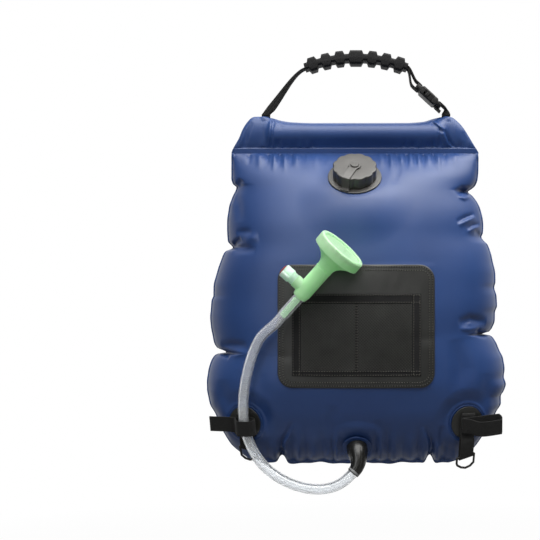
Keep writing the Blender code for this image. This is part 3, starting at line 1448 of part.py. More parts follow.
def build_panel():
    lift = PANEL_LIFT
    panel_middle = down_chamber(PANEL_DOWN_SHARE)
    draped("pocket_panel", PANEL_X, panel_middle, PANEL_WIDTH, PANEL_HEIGHT, PANEL_CORNER, lift,
           PANEL_THICKNESS, BLACK_VINYL, 12, 8)
    lift += PANEL_THICKNESS + LAYER_GAP
    net_middle = panel_middle - NET_BELOW
    inner_left = NET_X - NET_WIDTH / 2 + BINDING_SIDE_WIDTH
    inner_right = NET_X + NET_WIDTH / 2 - BINDING_SIDE_WIDTH
    top = net_middle + NET_HEIGHT / 2
    bottom = net_middle - NET_HEIGHT / 2
    gap = TOUCH_GAP
    net_top = top - BINDING_TOP_WIDTH - gap
    net_bottom = bottom + BINDING_BOTTOM_WIDTH + gap
    for name, low, high in (
        ("net_pocket_left", inner_left, NET_X - DIVIDER_WIDTH / 2),
        ("net_pocket_right", NET_X + DIVIDER_WIDTH / 2, inner_right),
    ):
        draped(name, (low + high) / 2, (net_top + net_bottom) / 2, high - low - 2 * gap,
               net_top - net_bottom, 0, lift, NET_THICKNESS, BLACK_NET, 5, 6)
    draped("pocket_divider", NET_X, (net_top + net_bottom) / 2, DIVIDER_WIDTH, net_top - net_bottom, 0,
           lift, BINDING_THICKNESS, BLACK_WEBBING, 1, 6)
    inner_width = inner_right - inner_left - 2 * gap
    draped("pocket_top_binding", NET_X, top - BINDING_TOP_WIDTH / 2, inner_width, BINDING_TOP_WIDTH, 0,
           lift, BINDING_THICKNESS, BLACK_WEBBING, 10, 1)
    draped("pocket_bottom_binding", NET_X, bottom + BINDING_BOTTOM_WIDTH / 2, inner_width,
           BINDING_BOTTOM_WIDTH, 0, lift, BINDING_THICKNESS, BLACK_WEBBING, 10, 1)
    for name, side in (("pocket_left_binding", -1), ("pocket_right_binding", 1)):
        middle = NET_X + side * (NET_WIDTH - BINDING_SIDE_WIDTH) / 2
        draped(name, middle, net_middle, BINDING_SIDE_WIDTH, NET_HEIGHT, 0, lift, BINDING_THICKNESS,
               BLACK_WEBBING, 1, 8)


# Corner patches, straps and D-rings, in the frames of their seats

def patch_top():
    return FILM_THICKNESS + TOUCH_GAP + PATCH_THICKNESS


def ribbon(name, frame, path, width, along, skew=None):
    """A strap of one thickness that follows points (place, height, shift) in the seat's frame.
    along is 0 where it runs across the seat and 1 where it runs up it."""
    rings = []
    for i, (place, height, shift) in enumerate(path):
        ahead, behind = path[min(i + 1, len(path) - 1)], path[max(i - 1, 0)]
        run = Vector((ahead[0] - behind[0], ahead[1] - behind[1])).normalized()
        if along:
            centre = Vector((shift, place, height))
            side, wide = Vector((0, -run.y, run.x)), Vector((-1, -skew[i], 0))
        else:
            centre = Vector((place, shift, height))
            side, wide = Vector((-run.y, 0, run.x)), Vector((0, 1, 0))
        side, wide = side * (STRAP_THICKNESS / 2), wide * (width / 2)
        corners = (centre - wide - side, centre + wide - side, centre + wide + side, centre - wide + side)
        rings.append([frame @ p for p in corners])
    return lofted(name, rings, BLACK_WEBBING)


def dring_bar_height():
    """Height of the D-ring's bar above its patch: the strap passes under and over it."""
    return patch_top() + TOUCH_GAP + STRAP_THICKNESS + DRING_FIT + DRING_WIRE_RADIUS


def build_dring(side_name, seat, side, reach, turn_deg):
    """side is -1 at the left and 1 at the right. The bar's outer end hangs higher."""
    frame = seat.frame @ Matrix.Rotation(math.radians(turn_deg), 4, "Z")
    bar = dring_bar_height()
    wrap = DRING_WIRE_RADIUS + DRING_FIT + STRAP_THICKNESS / 2
    over = strap_over_patch()
    path = [(DRING_STRAP_TOP, over), (-DRING_STRAP_RISE, over)]
    path += [(-DRING_STRAP_RISE - DRING_STRAP_SLOPE, bar + wrap), (-reach, bar + wrap)]
    for degrees in (60, 30, 0, -30, -60):
        angle = math.radians(degrees)
        path.append((-reach - wrap * math.cos(angle), bar + wrap * math.sin(angle)))
    path += [(-reach, bar - wrap), (-DRING_STRAP_RISE, bar - wrap), (DRING_STRAP_TOP, bar - wrap)]
    skew = [side * DRING_SKEW_SHARE * smooth_step((-place - DRING_STRAP_RISE) / DRING_STRAP_SLOPE)
            for place, height in path]
    path = [(place, height, 0) for place, height in path]
    ribbon("dring_strap_" + side_name, frame, path, DRING_STRAP_WIDTH, 1, skew)
    build_dring_wire("dring_" + side_name, frame, side, reach, bar)


def strap_over_patch():
    """Centre of the D-ring strap's outer layer over the patch."""
    return patch_top() + 2 * TOUCH_GAP + STRAP_THICKNESS + STRAP_THICKNESS / 2


def build_dring_wire(name, frame, side, reach, bar):
    """A closed wire: a sloping bar in the strap's fold and a rounded bottom."""
    half, corner = DRING_WIDTH / 2, DRING_WIRE_RADIUS * DRING_CORNER_SHARE
    slope = DRING_SKEW_SHARE
    outline = [(-half, -half * slope - corner), (corner - half, (corner - half) * slope)]
    outline += [(half - corner, (half - corner) * slope), (half, half * slope - corner)]
    outline += [(half * across, -DRING_HEIGHT * down) for across, down in DRING_BOTTOM_SHARES]
    outline = [(x * side, y) for x, y in outline]
    if side < 0:
        outline.reverse()
    centre = Vector((0, -reach, bar))
    rings = []
    for i, (x, y) in enumerate(outline):
        before, after = Vector(outline[i - 1]), Vector(outline[(i + 1) % len(outline)])
        here = Vector((x, y))
        run = ((here - before).normalized() + (after - here).normalized()).normalized()
        across = Vector((-run.y, run.x, 0))
        ring = []
        for k in range(8):
            angle = 2 * math.pi * k / 8
            offset = across * math.cos(angle) + Vector((0, 0, 1)) * math.sin(angle)
            ring.append(frame @ (centre + Vector((x, y, 0)) + offset * DRING_WIRE_RADIUS))
        rings.append(ring)
    return lofted(name, rings, BLACK_PLASTIC, origin=frame @ centre, closed=True)


def wrap_base():
    """Centre of the horizontal strap's first layer, over the D-ring strap."""
    return strap_over_patch() + STRAP_THICKNESS + TOUCH_GAP


def build_hose_wrap():
    """The left strap: a free end, then under the hose, round it and back on itself."""
    frame = LEFT_SEAT.frame @ Matrix.Translation((0, -WRAP_CENTRE_DROP, 0))
    base = wrap_base()
    reach = HOSE_RADIUS + LAYER_GAP + STRAP_THICKNESS / 2
    low, high = base + reach, base + reach + 2 * WRAP_LIFT
    right, left = WRAP_HOSE_X + WRAP_SLACK, WRAP_HOSE_X - WRAP_SLACK
    path = [(-WRAP_LEFT_REACH, base), (-WRAP_TAIL_REACH, base), (right, base)]
    for degrees in (-60, -30, 0, 30, 60, 90):
        angle = math.radians(degrees)
        middle = low if degrees <= 0 else high
        path.append((right + reach * math.cos(angle), middle + reach * math.sin(angle)))
    for degrees in (90, 120, 150):
        angle = math.radians(degrees)
        path.append((left + reach * math.cos(angle), high + reach * math.sin(angle)))
    tail = base + STRAP_THICKNESS + TOUCH_GAP
    fall = (path[-1][1] - tail) * math.tan(math.radians(180 - degrees))
    path += [(path[-1][0] - fall, tail), (-WRAP_TAIL_REACH, tail)]
    ribbon("hose_strap_left", frame, [(place, height, 0) for place, height in path], STRAP_WIDTH, 0)


def build_open_loop():
    """The right strap: folded back on itself, and open between its layers."""
    frame = RIGHT_SEAT.frame @ Matrix.Translation((0, -WRAP_CENTRE_DROP, 0))
    frame = frame @ Matrix.Rotation(math.radians(LOOP_TURN_DEG), 4, "Z")
    base = wrap_base()
    closed = base + STRAP_THICKNESS + TOUCH_GAP
    bend = (LOOP_OPENING + STRAP_THICKNESS) / 2
    middle = base + bend
    slope = LOOP_REACH * LOOP_SLOPE_SHARE
    path = [(-LOOP_LEFT, base, 0), (slope, base, 0), (LOOP_REACH - bend, base, 0)]
    for degrees in (-60, -30, 0, 30, 60):
        angle = math.radians(degrees)
        sag = -LOOP_SAG * (1 + math.sin(angle)) / 2
        path.append((LOOP_REACH - bend + bend * math.cos(angle), middle + bend * math.sin(angle), sag))
    path += [(LOOP_REACH - bend, base + 2 * bend, -LOOP_SAG), (slope, base + 2 * bend, -LOOP_SAG)]
    path += [(0, closed + bend / 4, -LOOP_SAG / 4), (-LOOP_LEFT, closed, 0)]
    ribbon("hose_strap_right", frame, path, STRAP_WIDTH, 0)


def build_patches():
    for name, seat, side, reach, turn_deg in (
        ("left", LEFT_SEAT, -1, DRING_STRAP_REACH_LEFT, DRING_TURN_LEFT_DEG),
        ("right", RIGHT_SEAT, 1, DRING_STRAP_REACH_RIGHT, 0),
    ):
        low, high = FILM_THICKNESS + TOUCH_GAP, patch_top()
        profile = ((0, low), (PATCH_RADIUS, low), (PATCH_RADIUS, high), (0, high))
        turned("patch_" + name, seat.frame, profile, BLACK_VINYL)
        build_dring(name, seat, side, reach, turn_deg)


build_grip()
build_handle_webbing()
build_buckle()
build_anchor_webbing()
build_core_webbing()
build_sleeve()
build_chamber()
build_filler()
build_cap()
build_outlet()
build_hose()
build_hose_end()
build_head_body()
build_valve()
build_rose()
build_panel()
build_patches()
build_hose_wrap()
build_open_loop()
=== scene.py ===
"""Looks of the camp shower bag: film, webbing, nets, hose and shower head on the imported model."""
import json
import math
import random

import bmesh
import bpy
import numpy as np
from mathutils import Matrix, Vector

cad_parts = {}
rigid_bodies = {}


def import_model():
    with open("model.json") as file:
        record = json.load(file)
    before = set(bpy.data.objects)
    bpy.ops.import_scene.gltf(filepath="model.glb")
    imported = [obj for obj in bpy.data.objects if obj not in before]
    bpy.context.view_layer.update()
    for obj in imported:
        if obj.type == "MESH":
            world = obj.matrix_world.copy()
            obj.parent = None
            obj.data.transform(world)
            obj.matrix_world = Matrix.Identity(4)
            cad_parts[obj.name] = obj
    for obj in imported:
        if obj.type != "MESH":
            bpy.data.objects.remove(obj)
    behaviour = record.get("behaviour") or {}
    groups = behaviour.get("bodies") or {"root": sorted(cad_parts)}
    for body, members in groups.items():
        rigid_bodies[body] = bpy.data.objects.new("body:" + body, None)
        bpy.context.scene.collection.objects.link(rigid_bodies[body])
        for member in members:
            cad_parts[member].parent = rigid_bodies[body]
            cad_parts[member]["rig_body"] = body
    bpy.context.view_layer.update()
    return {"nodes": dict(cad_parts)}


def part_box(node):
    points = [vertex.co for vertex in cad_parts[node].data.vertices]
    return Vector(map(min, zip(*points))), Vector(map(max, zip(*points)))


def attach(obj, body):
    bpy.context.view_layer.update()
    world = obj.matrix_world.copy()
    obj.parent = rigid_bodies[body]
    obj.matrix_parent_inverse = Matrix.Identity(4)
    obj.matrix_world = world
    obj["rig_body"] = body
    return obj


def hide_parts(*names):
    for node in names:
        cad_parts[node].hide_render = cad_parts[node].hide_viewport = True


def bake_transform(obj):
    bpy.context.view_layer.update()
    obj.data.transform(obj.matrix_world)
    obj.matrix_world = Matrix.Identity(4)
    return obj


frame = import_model()
nodes = frame["nodes"]
scene = bpy.context.scene

# Camera: level with the middle of the bag
PHOTO_SIZE = 540
CENTRE_PX, CENTRE_PY = 356, 290  # the place in the photograph that the camera is level with
PIXEL = 0.0012  # metres to a pixel at the plane of the weld
WELD_PIXEL = 0.00117  # the same where the film stands out beside the weld
CAMERA_Z = -0.2695
CAMERA_AWAY = 1.55
camera_data = bpy.data.cameras.new("camera")
camera_data.lens = 86.1
camera_data.sensor_width = 36
camera_data.shift_x = (PHOTO_SIZE / 2 - CENTRE_PX) / PHOTO_SIZE
camera_data.shift_y = (CENTRE_PY - PHOTO_SIZE / 2) / PHOTO_SIZE
camera = bpy.data.objects.new("camera", camera_data)
camera.location = (0, -CAMERA_AWAY, CAMERA_Z)
camera.rotation_euler = (math.pi / 2, 0, 0)
scene.collection.objects.link(camera)
scene.camera = camera
scene.view_settings.view_transform = "Standard"


def seen(px, py, depth=0.0):
    """World x and z of a place in the photograph that lies at a depth in front of the weld."""
    scale = PIXEL * (CAMERA_AWAY - depth) / CAMERA_AWAY
    return (px - CENTRE_PX) * scale, CAMERA_Z - (py - CENTRE_PY) * scale


def smooth(t):
    t = np.clip(t, 0.0, 1.0)
    return t * t * (3 - 2 * t)


def hermite(t, start, slope, end, end_slope=0.0):
    """A cubic from start to end with the slopes given."""
    return (start * (2 * t**3 - 3 * t**2 + 1) + slope * (t**3 - 2 * t**2 + t)
            + end * (3 * t**2 - 2 * t**3) + end_slope * (t**3 - t**2))


def table(pairs):
    """A smooth curve through (place, value) pairs that doesn't overshoot."""
    xs, ys = np.array(pairs, float).T
    rise = np.diff(ys) / np.diff(xs)
    slope = np.empty(len(xs))
    slope[0], slope[-1] = rise[0], rise[-1]
    product, total = rise[:-1] * rise[1:], rise[:-1] + rise[1:]
    slope[1:-1] = np.where(product > 0, 2 * product / np.where(total == 0, 1, total), 0)

    def read(s):
        s = np.asarray(s, float)
        i = np.clip(np.searchsorted(xs, s, side="right") - 1, 0, len(xs) - 2)
        h = xs[i + 1] - xs[i]
        return hermite(np.clip((s - xs[i]) / h, 0, 1), ys[i], slope[i] * h, ys[i + 1], slope[i + 1] * h)

    return read


# Materials

PAINTED_GLOW_SHARE = 0.08  # the painted glow of soft plastic, a share of its base colour, though it is no lamp
WAVES_TO_PITCH = 0.314  # a wave texture's scale times its pitch in metres


def feed(tree, node, values):
    """Sets the node's inputs. A value that is a socket is linked."""
    for key, value in values.items():
        if isinstance(value, bpy.types.NodeSocket):
            tree.links.new(value, node.inputs[key])
        else:
            node.inputs[key].default_value = value


def add_node(tree, kind, values, **settings):
    node = tree.nodes.new("ShaderNode" + kind)
    for key, value in settings.items():
        setattr(node, key, value)
    feed(tree, node, values)
    return node


def new_material(name, color, roughness, specular=0.5, more=None):
    """A material, its tree and shader, and the place that its textures read."""
    material = bpy.data.materials.new(name)
    material.use_nodes = True
    material.diffuse_color = (*color, 1)
    tree = material.node_tree
    shader = tree.nodes["Principled BSDF"]
    feed(tree, shader, {"Base Color": (*color, 1), "Roughness": roughness, "Specular IOR Level": specular})
    feed(tree, shader, more or {})
    return material, tree, shader, add_node(tree, "TexCoord", {}).outputs["Object"]


def noise(tree, place, scale, detail=3.0, stretch=None):
    if stretch:
        place = add_node(tree, "Mapping", {"Vector": place, "Scale": stretch}).outputs["Vector"]
    return add_node(tree, "TexNoise", {"Vector": place, "Scale": scale, "Detail": detail}).outputs["Fac"]


def vary_color(tree, shader, fac, dark, light, low=0.3, high=0.7):
    ramp = add_node(tree, "ValToRGB", {"Fac": fac})
    for element, place, color in zip(ramp.color_ramp.elements, (low, high), (dark, light)):
        element.position, element.color = place, (*color, 1)
    feed(tree, shader, {"Base Color": ramp.outputs["Color"]})
    return ramp.outputs["Color"]


def vary_roughness(tree, shader, fac, low, high):
    ranged = add_node(tree, "MapRange", {"Value": fac, "To Min": low, "To Max": high})
    feed(tree, shader, {"Roughness": ranged.outputs["Result"]})


def add_bump(tree, shader, height, strength, distance):
    bump = add_node(tree, "Bump", {"Height": height, "Strength": strength, "Distance": distance})
    before = shader.inputs["Normal"].links
    if before:
        feed(tree, bump, {"Normal": before[0].from_socket})
    feed(tree, shader, {"Normal": bump.outputs["Normal"]})


def shaded(color, share):
    return tuple(min(c * share, 1) for c in color)


def moulded(name, color, roughness, grain=0.25, shade=0.12, soft=0.0, specular=0.5):
    """Moulded plastic or rubber: a fine spark-eroded grain and faint flow marks. Soft plastic lets light
    in, and a faint painted glow in its own colour stands for the light that goes round inside it."""
    # soft plastic gets a painted glow: Emission in its own colour, though it is no lamp
    material, tree, shader, place = new_material(name, color, roughness, specular, {
        "Subsurface Weight": soft, "Subsurface Scale": 0.024, "Subsurface Radius": (0.8, 1, 0.8),
        "Emission Color": (*color, 1), "Emission Strength": soft * PAINTED_GLOW_SHARE})
    vary_color(tree, shader, noise(tree, place, 60, 4), shaded(color, 1 - shade), shaded(color, 1 + shade))
    vary_roughness(tree, shader, noise(tree, place, 35, 5), roughness * 0.8, roughness * 1.2)
    add_bump(tree, shader, noise(tree, place, 1800, 2), grain, 0.00012)
    return material


def film_material():
    material, tree, shader, place = new_material("navy_film_skin", (0.0150, 0.049, 0.176), 0.44, 0.6)
    vary_color(tree, shader, noise(tree, place, 9, 4), (0.0130, 0.043, 0.158), (0.0170, 0.055, 0.194))
    vary_roughness(tree, shader, noise(tree, place, 24, 5), 0.39, 0.49)
    add_bump(tree, shader, noise(tree, place, 1500, 2, (1, 1, 0.6)), 0.16, 0.0002)
    add_bump(tree, shader, noise(tree, place, 45, 2), 0.10, 0.0012)
    return material


def vinyl_material():
    material, tree, shader, place = new_material("black_vinyl_grain", (0.012, 0.0125, 0.0112), 0.45, 0.8)
    vary_color(tree, shader, noise(tree, place, 40, 4), (0.008, 0.0085, 0.0073), (0.015, 0.0155, 0.0135))
    cells = add_node(tree, "TexVoronoi", {"Vector": place, "Scale": 900}, feature="DISTANCE_TO_EDGE")
    add_bump(tree, shader, cells.outputs["Distance"], 0.25, 0.0003)
    vary_roughness(tree, shader, noise(tree, place, 70, 4), 0.40, 0.52)
    return material


def woven_material(name, color, pitch=0.0011, rough=0.85, twill_deg=45, sheen=0.08):
    """Tape woven on a narrow loom: the weave follows the strap by its own UV in metres."""
    material, tree, shader, place = new_material(name, color, rough, 0.2, {"Sheen Weight": sheen})
    uv = add_node(tree, "UVMap", {}, uv_map="strap").outputs["UV"]
    turn = add_node(tree, "Mapping", {"Vector": uv, "Rotation": (0, 0, math.radians(twill_deg))})
    weave = {"Vector": turn.outputs["Vector"], "Scale": WAVES_TO_PITCH / pitch,
             "Distortion": 0.6, "Detail": 1.5}
    warp, weft = (add_node(tree, "TexWave", weave, bands_direction=way).outputs["Fac"] for way in "XY")
    cross = add_node(tree, "Math", {0: warp, 1: weft}, operation="MULTIPLY").outputs[0]
    vary_color(tree, shader, cross, shaded(color, 0.45), shaded(color, 1.9), 0.05, 0.75)
    add_bump(tree, shader, cross, 0.55, 0.0004)
    add_bump(tree, shader, noise(tree, place, 1400, 3), 0.2, 0.0003)
    return material


def clear_material(name, color, roughness, ior):
    material, tree, shader, place = new_material(name, color, roughness, 0.6,
                                                 {"Transmission Weight": 0.84, "IOR": ior})
    vary_roughness(tree, shader, noise(tree, place, 90, 3), roughness * 0.6, roughness * 1.4)
    add_bump(tree, shader, noise(tree, place, 25, 1), 0.03, 0.0004)
    return material


FILM = film_material()
VINYL = vinyl_material()
WEBBING = woven_material("black_webbing_weave", (0.017, 0.017, 0.017))
BINDING = woven_material("black_binding_weave", (0.014, 0.014, 0.015), 0.0008, 0.8, 0, 0.05)
NET = moulded("black_net_thread", (0.032, 0.0325, 0.0295), 0.62, 0.3, 0.3, specular=0.3)
THREAD = moulded("sewing_thread", (0.085, 0.083, 0.070), 0.6, 0.3, 0.25)
BLACK = moulded("black_moulding", (0.019, 0.0175, 0.0155), 0.34, 0.35, 0.2)
CAP_BLACK = moulded("cap_moulding", (0.038, 0.0355, 0.032), 0.43, 0.4, 0.15, specular=0.9)
GLOSS_BLACK = moulded("black_gloss_moulding", (0.012, 0.0118, 0.011), 0.24, 0.2, 0.2)
RUBBER = moulded("black_soft_rubber", (0.0065, 0.0065, 0.0075), 0.68, 0.6, 0.25, specular=0.25)
BUCKLE = moulded("black_buckle_moulding", (0.008, 0.008, 0.0085), 0.5, 0.3, 0.2, specular=0.3)
GREEN = moulded("mint_moulding", (0.44, 0.95, 0.42), 0.36, 0.15, 0.03, soft=0.85)
PALE_GREEN = moulded("pale_mint_moulding", (0.58, 0.94, 0.66), 0.36, 0.15, 0.03, soft=0.85)
RED = moulded("red_moulding", (0.22, 0.016, 0.007), 0.35, 0.15, 0.15)
TUBE = moulded("pale_tube_moulding", (0.6, 0.6, 0.57), 0.4, 0.2, 0.06)
CLEAR = clear_material("clear_hose_wall", (0.92, 0.94, 0.96), 0.05, 1.45)
GREY = moulded("grey_clip", (0.22, 0.225, 0.23), 0.35, 0.2, 0.1)


# Meshes

def mesh_piece(name, points, faces, material, body, replaced=(), sharp_deg=40, fix=True, corners=None):
    """A piece that rides a body. corners are its strap UVs in metres, face by face."""
    mesh = bpy.data.meshes.new(name)
    mesh.from_pydata([tuple(p) for p in points], [], [tuple(f) for f in faces])
    mesh.materials.append(material)
    if corners is not None:
        flat = np.array([uv for face in corners for uv in face], np.float32)
        mesh.uv_layers.new(name="strap").data.foreach_set("uv", flat.ravel())
    if fix:
        form = bmesh.new()
        form.from_mesh(mesh)
        bmesh.ops.recalc_face_normals(form, faces=form.faces)
        form.to_mesh(mesh)
        form.free()
    return placed(name, mesh, body, replaced, sharp_deg)


def bending(piece):
    """The piece is taken off its body: its modifiers are applied and its place is baked into its mesh."""
    bpy.context.view_layer.update()
    if piece.modifiers:
        evaluated = piece.evaluated_get(bpy.context.evaluated_depsgraph_get())
        mesh = bpy.data.meshes.new_from_object(evaluated)
        piece.modifiers.clear()
        piece.data = mesh
    world = piece.matrix_world.copy()
    piece.parent = None
    piece.matrix_world = world
    del piece["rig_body"]
    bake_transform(piece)


def placed(name, mesh, body, replaced, sharp_deg):
    mesh.shade_smooth()
    if sharp_deg < 180:
        mesh.set_sharp_from_angle(angle=math.radians(sharp_deg))
    piece = bpy.data.objects.new(name, mesh)
    scene.collection.objects.link(piece)
    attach(piece, body)
    if replaced:
        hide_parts(*replaced)
    return piece


def loft(rings, closed=True):
    """Points and faces of rings joined in a row. A closed row ends where it starts."""
    count = len(rings[0])
    points = [p for ring in rings for p in ring]
    faces = []
    for i in range(len(rings) if closed else len(rings) - 1):
        a, b = i * count, (i + 1) % len(rings) * count
        faces += [(a + k, a + (k + 1) % count, b + (k + 1) % count, b + k) for k in range(count)]
    return points, faces


def capped(rings):
    """The same with both ends closed."""
    points, faces = loft(rings, closed=False)
    count, last = len(rings[0]), len(points) - len(rings[0])
    return points, faces + [tuple(reversed(range(count))), tuple(range(last, last + count))]


def turned(name, place, profile, material, body, replaced=(), steps=96, swell=None, sharp_deg=40):
    """A profile of (radius, height) turned about the place's Z: a solid where both ends are on the axis."""
    solid = profile[0][0] == 0 and profile[-1][0] == 0
    rings = []
    for radius, height in profile[1:-1] if solid else profile:
        ring = []
        for k in range(steps):
            angle = 2 * math.pi * k / steps
            reach = radius if swell is None else swell(radius, angle)
            ring.append(place @ Vector((reach * math.cos(angle), reach * math.sin(angle), height)))
        rings.append(ring)
    points, faces = loft(rings, closed=not solid)
    if solid:
        low, top = len(points), (len(rings) - 1) * steps
        points += [place @ Vector((0, 0, profile[end][1])) for end in (0, -1)]
        for k in range(steps):
            n = (k + 1) % steps
            faces += [(low, n, k), (low + 1, top + k, top + n)]
    return mesh_piece(name, points, faces, material, body, replaced, sharp_deg)


def rounded(profile, radius, steps=3):
    """The closed profile with its corners rounded."""
    out = []
    for i, p in enumerate(profile):
        here = Vector(p)
        a, b = Vector(profile[i - 1]) - here, Vector(profile[(i + 1) % len(profile)]) - here
        reach = min(radius, a.length * 0.45, b.length * 0.45)
        start, end = here + a.normalized() * reach, here + b.normalized() * reach
        for k in range(steps + 1):
            t = k / steps
            out.append(tuple(start * (1 - t) ** 2 + here * (2 * t * (1 - t)) + end * t * t))
    return out


def refined(name, body, material, bevel=0.0004, segments=2):
    """The CAD piece's own mesh in a new object, with its edges rounded."""
    form = bmesh.new()
    form.from_mesh(nodes[name].data)
    bmesh.ops.remove_doubles(form, verts=form.verts, dist=0.00002)
    bmesh.ops.dissolve_limit(form, angle_limit=math.radians(2), verts=form.verts, edges=form.edges)
    mesh = bpy.data.meshes.new(name + "_skin")
    form.to_mesh(mesh)
    form.free()
    mesh.materials.clear()
    mesh.materials.append(material)
    piece = placed(name + "_skin", mesh, body, (name,), 50)
    if bevel:
        edge = piece.modifiers.new("edge", "BEVEL")
        edge.width = bevel
        edge.segments = segments
        edge.limit_method = "ANGLE"
        edge.angle_limit = math.radians(35)
    return piece


# Paths and frames

def frame_at(origin, x, y, z):
    place = Matrix((x, y, z)).transposed().to_4x4()
    place.translation = origin
    return place


def millimetres(points):
    return [Vector(p) * 0.001 for p in points]


def curve_through(points, steps=6):
    """A smooth line through the points."""
    points = [Vector(p) for p in points]
    last = len(points) - 1
    line = []
    for i in range(last):
        a, b, c, d = points[max(i - 1, 0)], points[i], points[i + 1], points[min(i + 2, last)]
        for k in range(steps):
            t = k / steps
            line.append(0.5 * (2 * b + (c - a) * t + (2 * a - 5 * b + 4 * c - d) * t * t
                               + (3 * b - a - 3 * c + d) * t**3))
    line.append(points[-1])
    return line


def headings(line):
    last = len(line) - 1
    return [(line[min(i + 1, last)] - line[max(i - 1, 0)]).normalized() for i in range(last + 1)]


def pipe(name, line, outer, inner, steps, material, replaced, sharp_deg):
    rings = tube_rings(line, outer, steps) + tube_rings(line, inner, steps)[::-1]
    return mesh_piece(name, *loft(rings), material, "bag", replaced, sharp_deg)


def tube_rings(line, radius, steps):
    """Rings carried along the line without a twist. The radius is a number or a rule of the share."""
    side = headings(line)[0].orthogonal().normalized()
    angles = [2 * math.pi * k / steps for k in range(steps)]
    rings = []
    for i, (centre, run) in enumerate(zip(line, headings(line))):
        side = (side - run * side.dot(run)).normalized()
        up = run.cross(side)
        r = radius(i / (len(line) - 1)) if callable(radius) else radius
        rings.append([centre + (side * math.cos(a) + up * math.sin(a)) * r for a in angles])
    return rings


HEAD_AXIS = Vector((0.65327, -0.21644, 0.725529))
HEAD_VALVE = Vector((-0.743145, 0, 0.669131))


# Hose: clear tube with its bore, from the spout to the shower head

HOSE_RADIUS, BORE_RADIUS = 0.0060, 0.0041
HOSE_PATH = millimetres((
    (-4.1, -67.5, -480.1), (-13.4, -68.5, -488.6), (-24.3, -68.8, -494.6), (-36.5, -68.4, -497.7),
    (-49, -67.4, -497.9), (-61.4, -66.1, -496.2), (-73.4, -64.5, -492.7), (-84.8, -62.7, -487.7),
    (-95.5, -60.8, -481.4), (-105.2, -58.8, -473.6), (-113.4, -56.7, -464.4), (-119.9, -55, -453.7),
    (-125, -54, -442.3), (-128.5, -54.7, -430.2), (-130, -56.9, -418), (-130.3, -59.3, -405.6),
    (-129.7, -61.8, -393.3), (-128.2, -64.6, -381.1), (-125.9, -67.2, -369), (-122.9, -69.2, -357),
    (-119.2, -71.6, -345.2), (-114.6, -75, -334), (-108.7, -78.9, -323.6), (-100.4, -83.5, -315.3),
    (-91.4, -87.2, -307.8), (-83.2, -89.9, -298.7),
))


def build_hose():
    line = curve_through(HOSE_PATH, 6)
    hose = pipe("hose_tube", line, HOSE_RADIUS, BORE_RADIUS, 36, CLEAR, ("hose",), 60)
    end = refined("hose_end", "bag", CLEAR, 0.0003)


build_hose()


# The filled chamber: the same body as in the CAD, with the outline, folds and puckers of the photograph

TOP = 0.105
HEIGHT = 0.372
RIM, FOOT_RIM = 0.0019, 0.0028  # widths of the weld at the sides and at the foot
SKIN = 0.0010  # how far the film stands out over the body that it is worked out from
DEPTH_FRONT = 0.080
DEPTH_BACK = 0.074
# Share of the height, share of the depth
DEPTH_SHARES = table((
    (0.0, 0.0), (0.03, 0.23), (0.09, 0.53), (0.16, 0.72), (0.25, 0.86), (0.4, 0.97), (0.55, 1.0),
    (0.72, 0.985), (0.82, 0.88), (0.9, 0.7), (0.95, 0.5), (0.98, 0.28), (1.0, 0.0)))
# Share of the height, half width of the outline in millimetres
LEFT_EDGE = table((
    (0, 149.3), (0.0228, 149.6), (0.0809, 149.6), (0.1003, 147.6), (0.1099, 143.6), (0.1454, 148.8),
    (0.1745, 152.4), (0.2325, 154.8), (0.2648, 154.4), (0.2851, 153.6), (0.3009, 148.6),
    (0.3054, 147.7), (0.318, 157), (0.3303, 159.6), (0.3961, 168), (0.4345, 171.1), (0.4593, 171.1),
    (0.4751, 173.3), (0.5025, 174.2), (0.5251, 175), (0.559, 174.2), (0.5815, 172.6),
    (0.6106, 170.3), (0.628, 166.6), (0.6428, 155.5), (0.6477, 166.6), (0.6577, 171.1),
    (0.6774, 174.8), (0.707, 177.6), (0.739, 178.9), (0.759, 178.9), (0.7809, 177.6),
    (0.8083, 175.3), (0.8428, 168.4), (0.8712, 163.8), (0.8996, 159.2), (0.9241, 153.7),
    (0.9454, 147.6), (0.9648, 139.2), (0.9857, 127.2), (0.9954, 117.6), (1.0003, 107)))
RIGHT_EDGE = table((
    (0, 146.4), (0.0199, 147.1), (0.0561, 146.9), (0.0832, 146), (0.1035, 143.5), (0.1151, 139.3),
    (0.1251, 134.3), (0.1377, 139.3), (0.158, 145.2), (0.1828, 149.4), (0.2164, 152.2),
    (0.2335, 152.8), (0.2583, 152.2), (0.2706, 150.5), (0.2828, 153.1), (0.2951, 157.7),
    (0.3199, 161.4), (0.3519, 164.2), (0.3938, 167.3), (0.4161, 167.3), (0.4335, 166),
    (0.4632, 168.7), (0.4928, 169.2), (0.5148, 166.8), (0.5422, 166.4), (0.5586, 164.2),
    (0.5761, 159.5), (0.5835, 151.2), (0.5883, 161.4), (0.6057, 166.8), (0.6377, 172.3),
    (0.6625, 176.4), (0.6993, 178.3), (0.7215, 177.4), (0.7464, 179.8), (0.7686, 177),
    (0.7835, 173.8), (0.8057, 173.8), (0.8328, 168.7), (0.8664, 162), (0.9019, 154.4),
    (0.9261, 148.4), (0.9535, 140.4), (0.9761, 130.8), (0.9922, 121.2), (1.0003, 110.4)))
# The CAD film's outline: share of the height, share of the half width, and the heights of its pinches
CAD_WIDTH = table((
    (0.0, 0.815), (0.07, 0.828), (0.2, 0.852), (0.34, 0.905), (0.42, 0.94), (0.5, 0.955),
    (0.6, 0.965), (0.69, 0.985), (0.75, 1.0), (0.8, 0.97), (0.86, 0.9), (0.91, 0.835),
    (0.95, 0.76), (0.985, 0.66), (1.0, 0.61)))
PINCHES_LEFT = (0.112, 0.302, 0.647)
PINCHES_RIGHT = (0.128, 0.272, 0.591)
PINCH_SPREAD, PINCH_DEPTH = 0.0065 / HEIGHT, 0.0085
CAD_HALF_WIDTH = 0.18
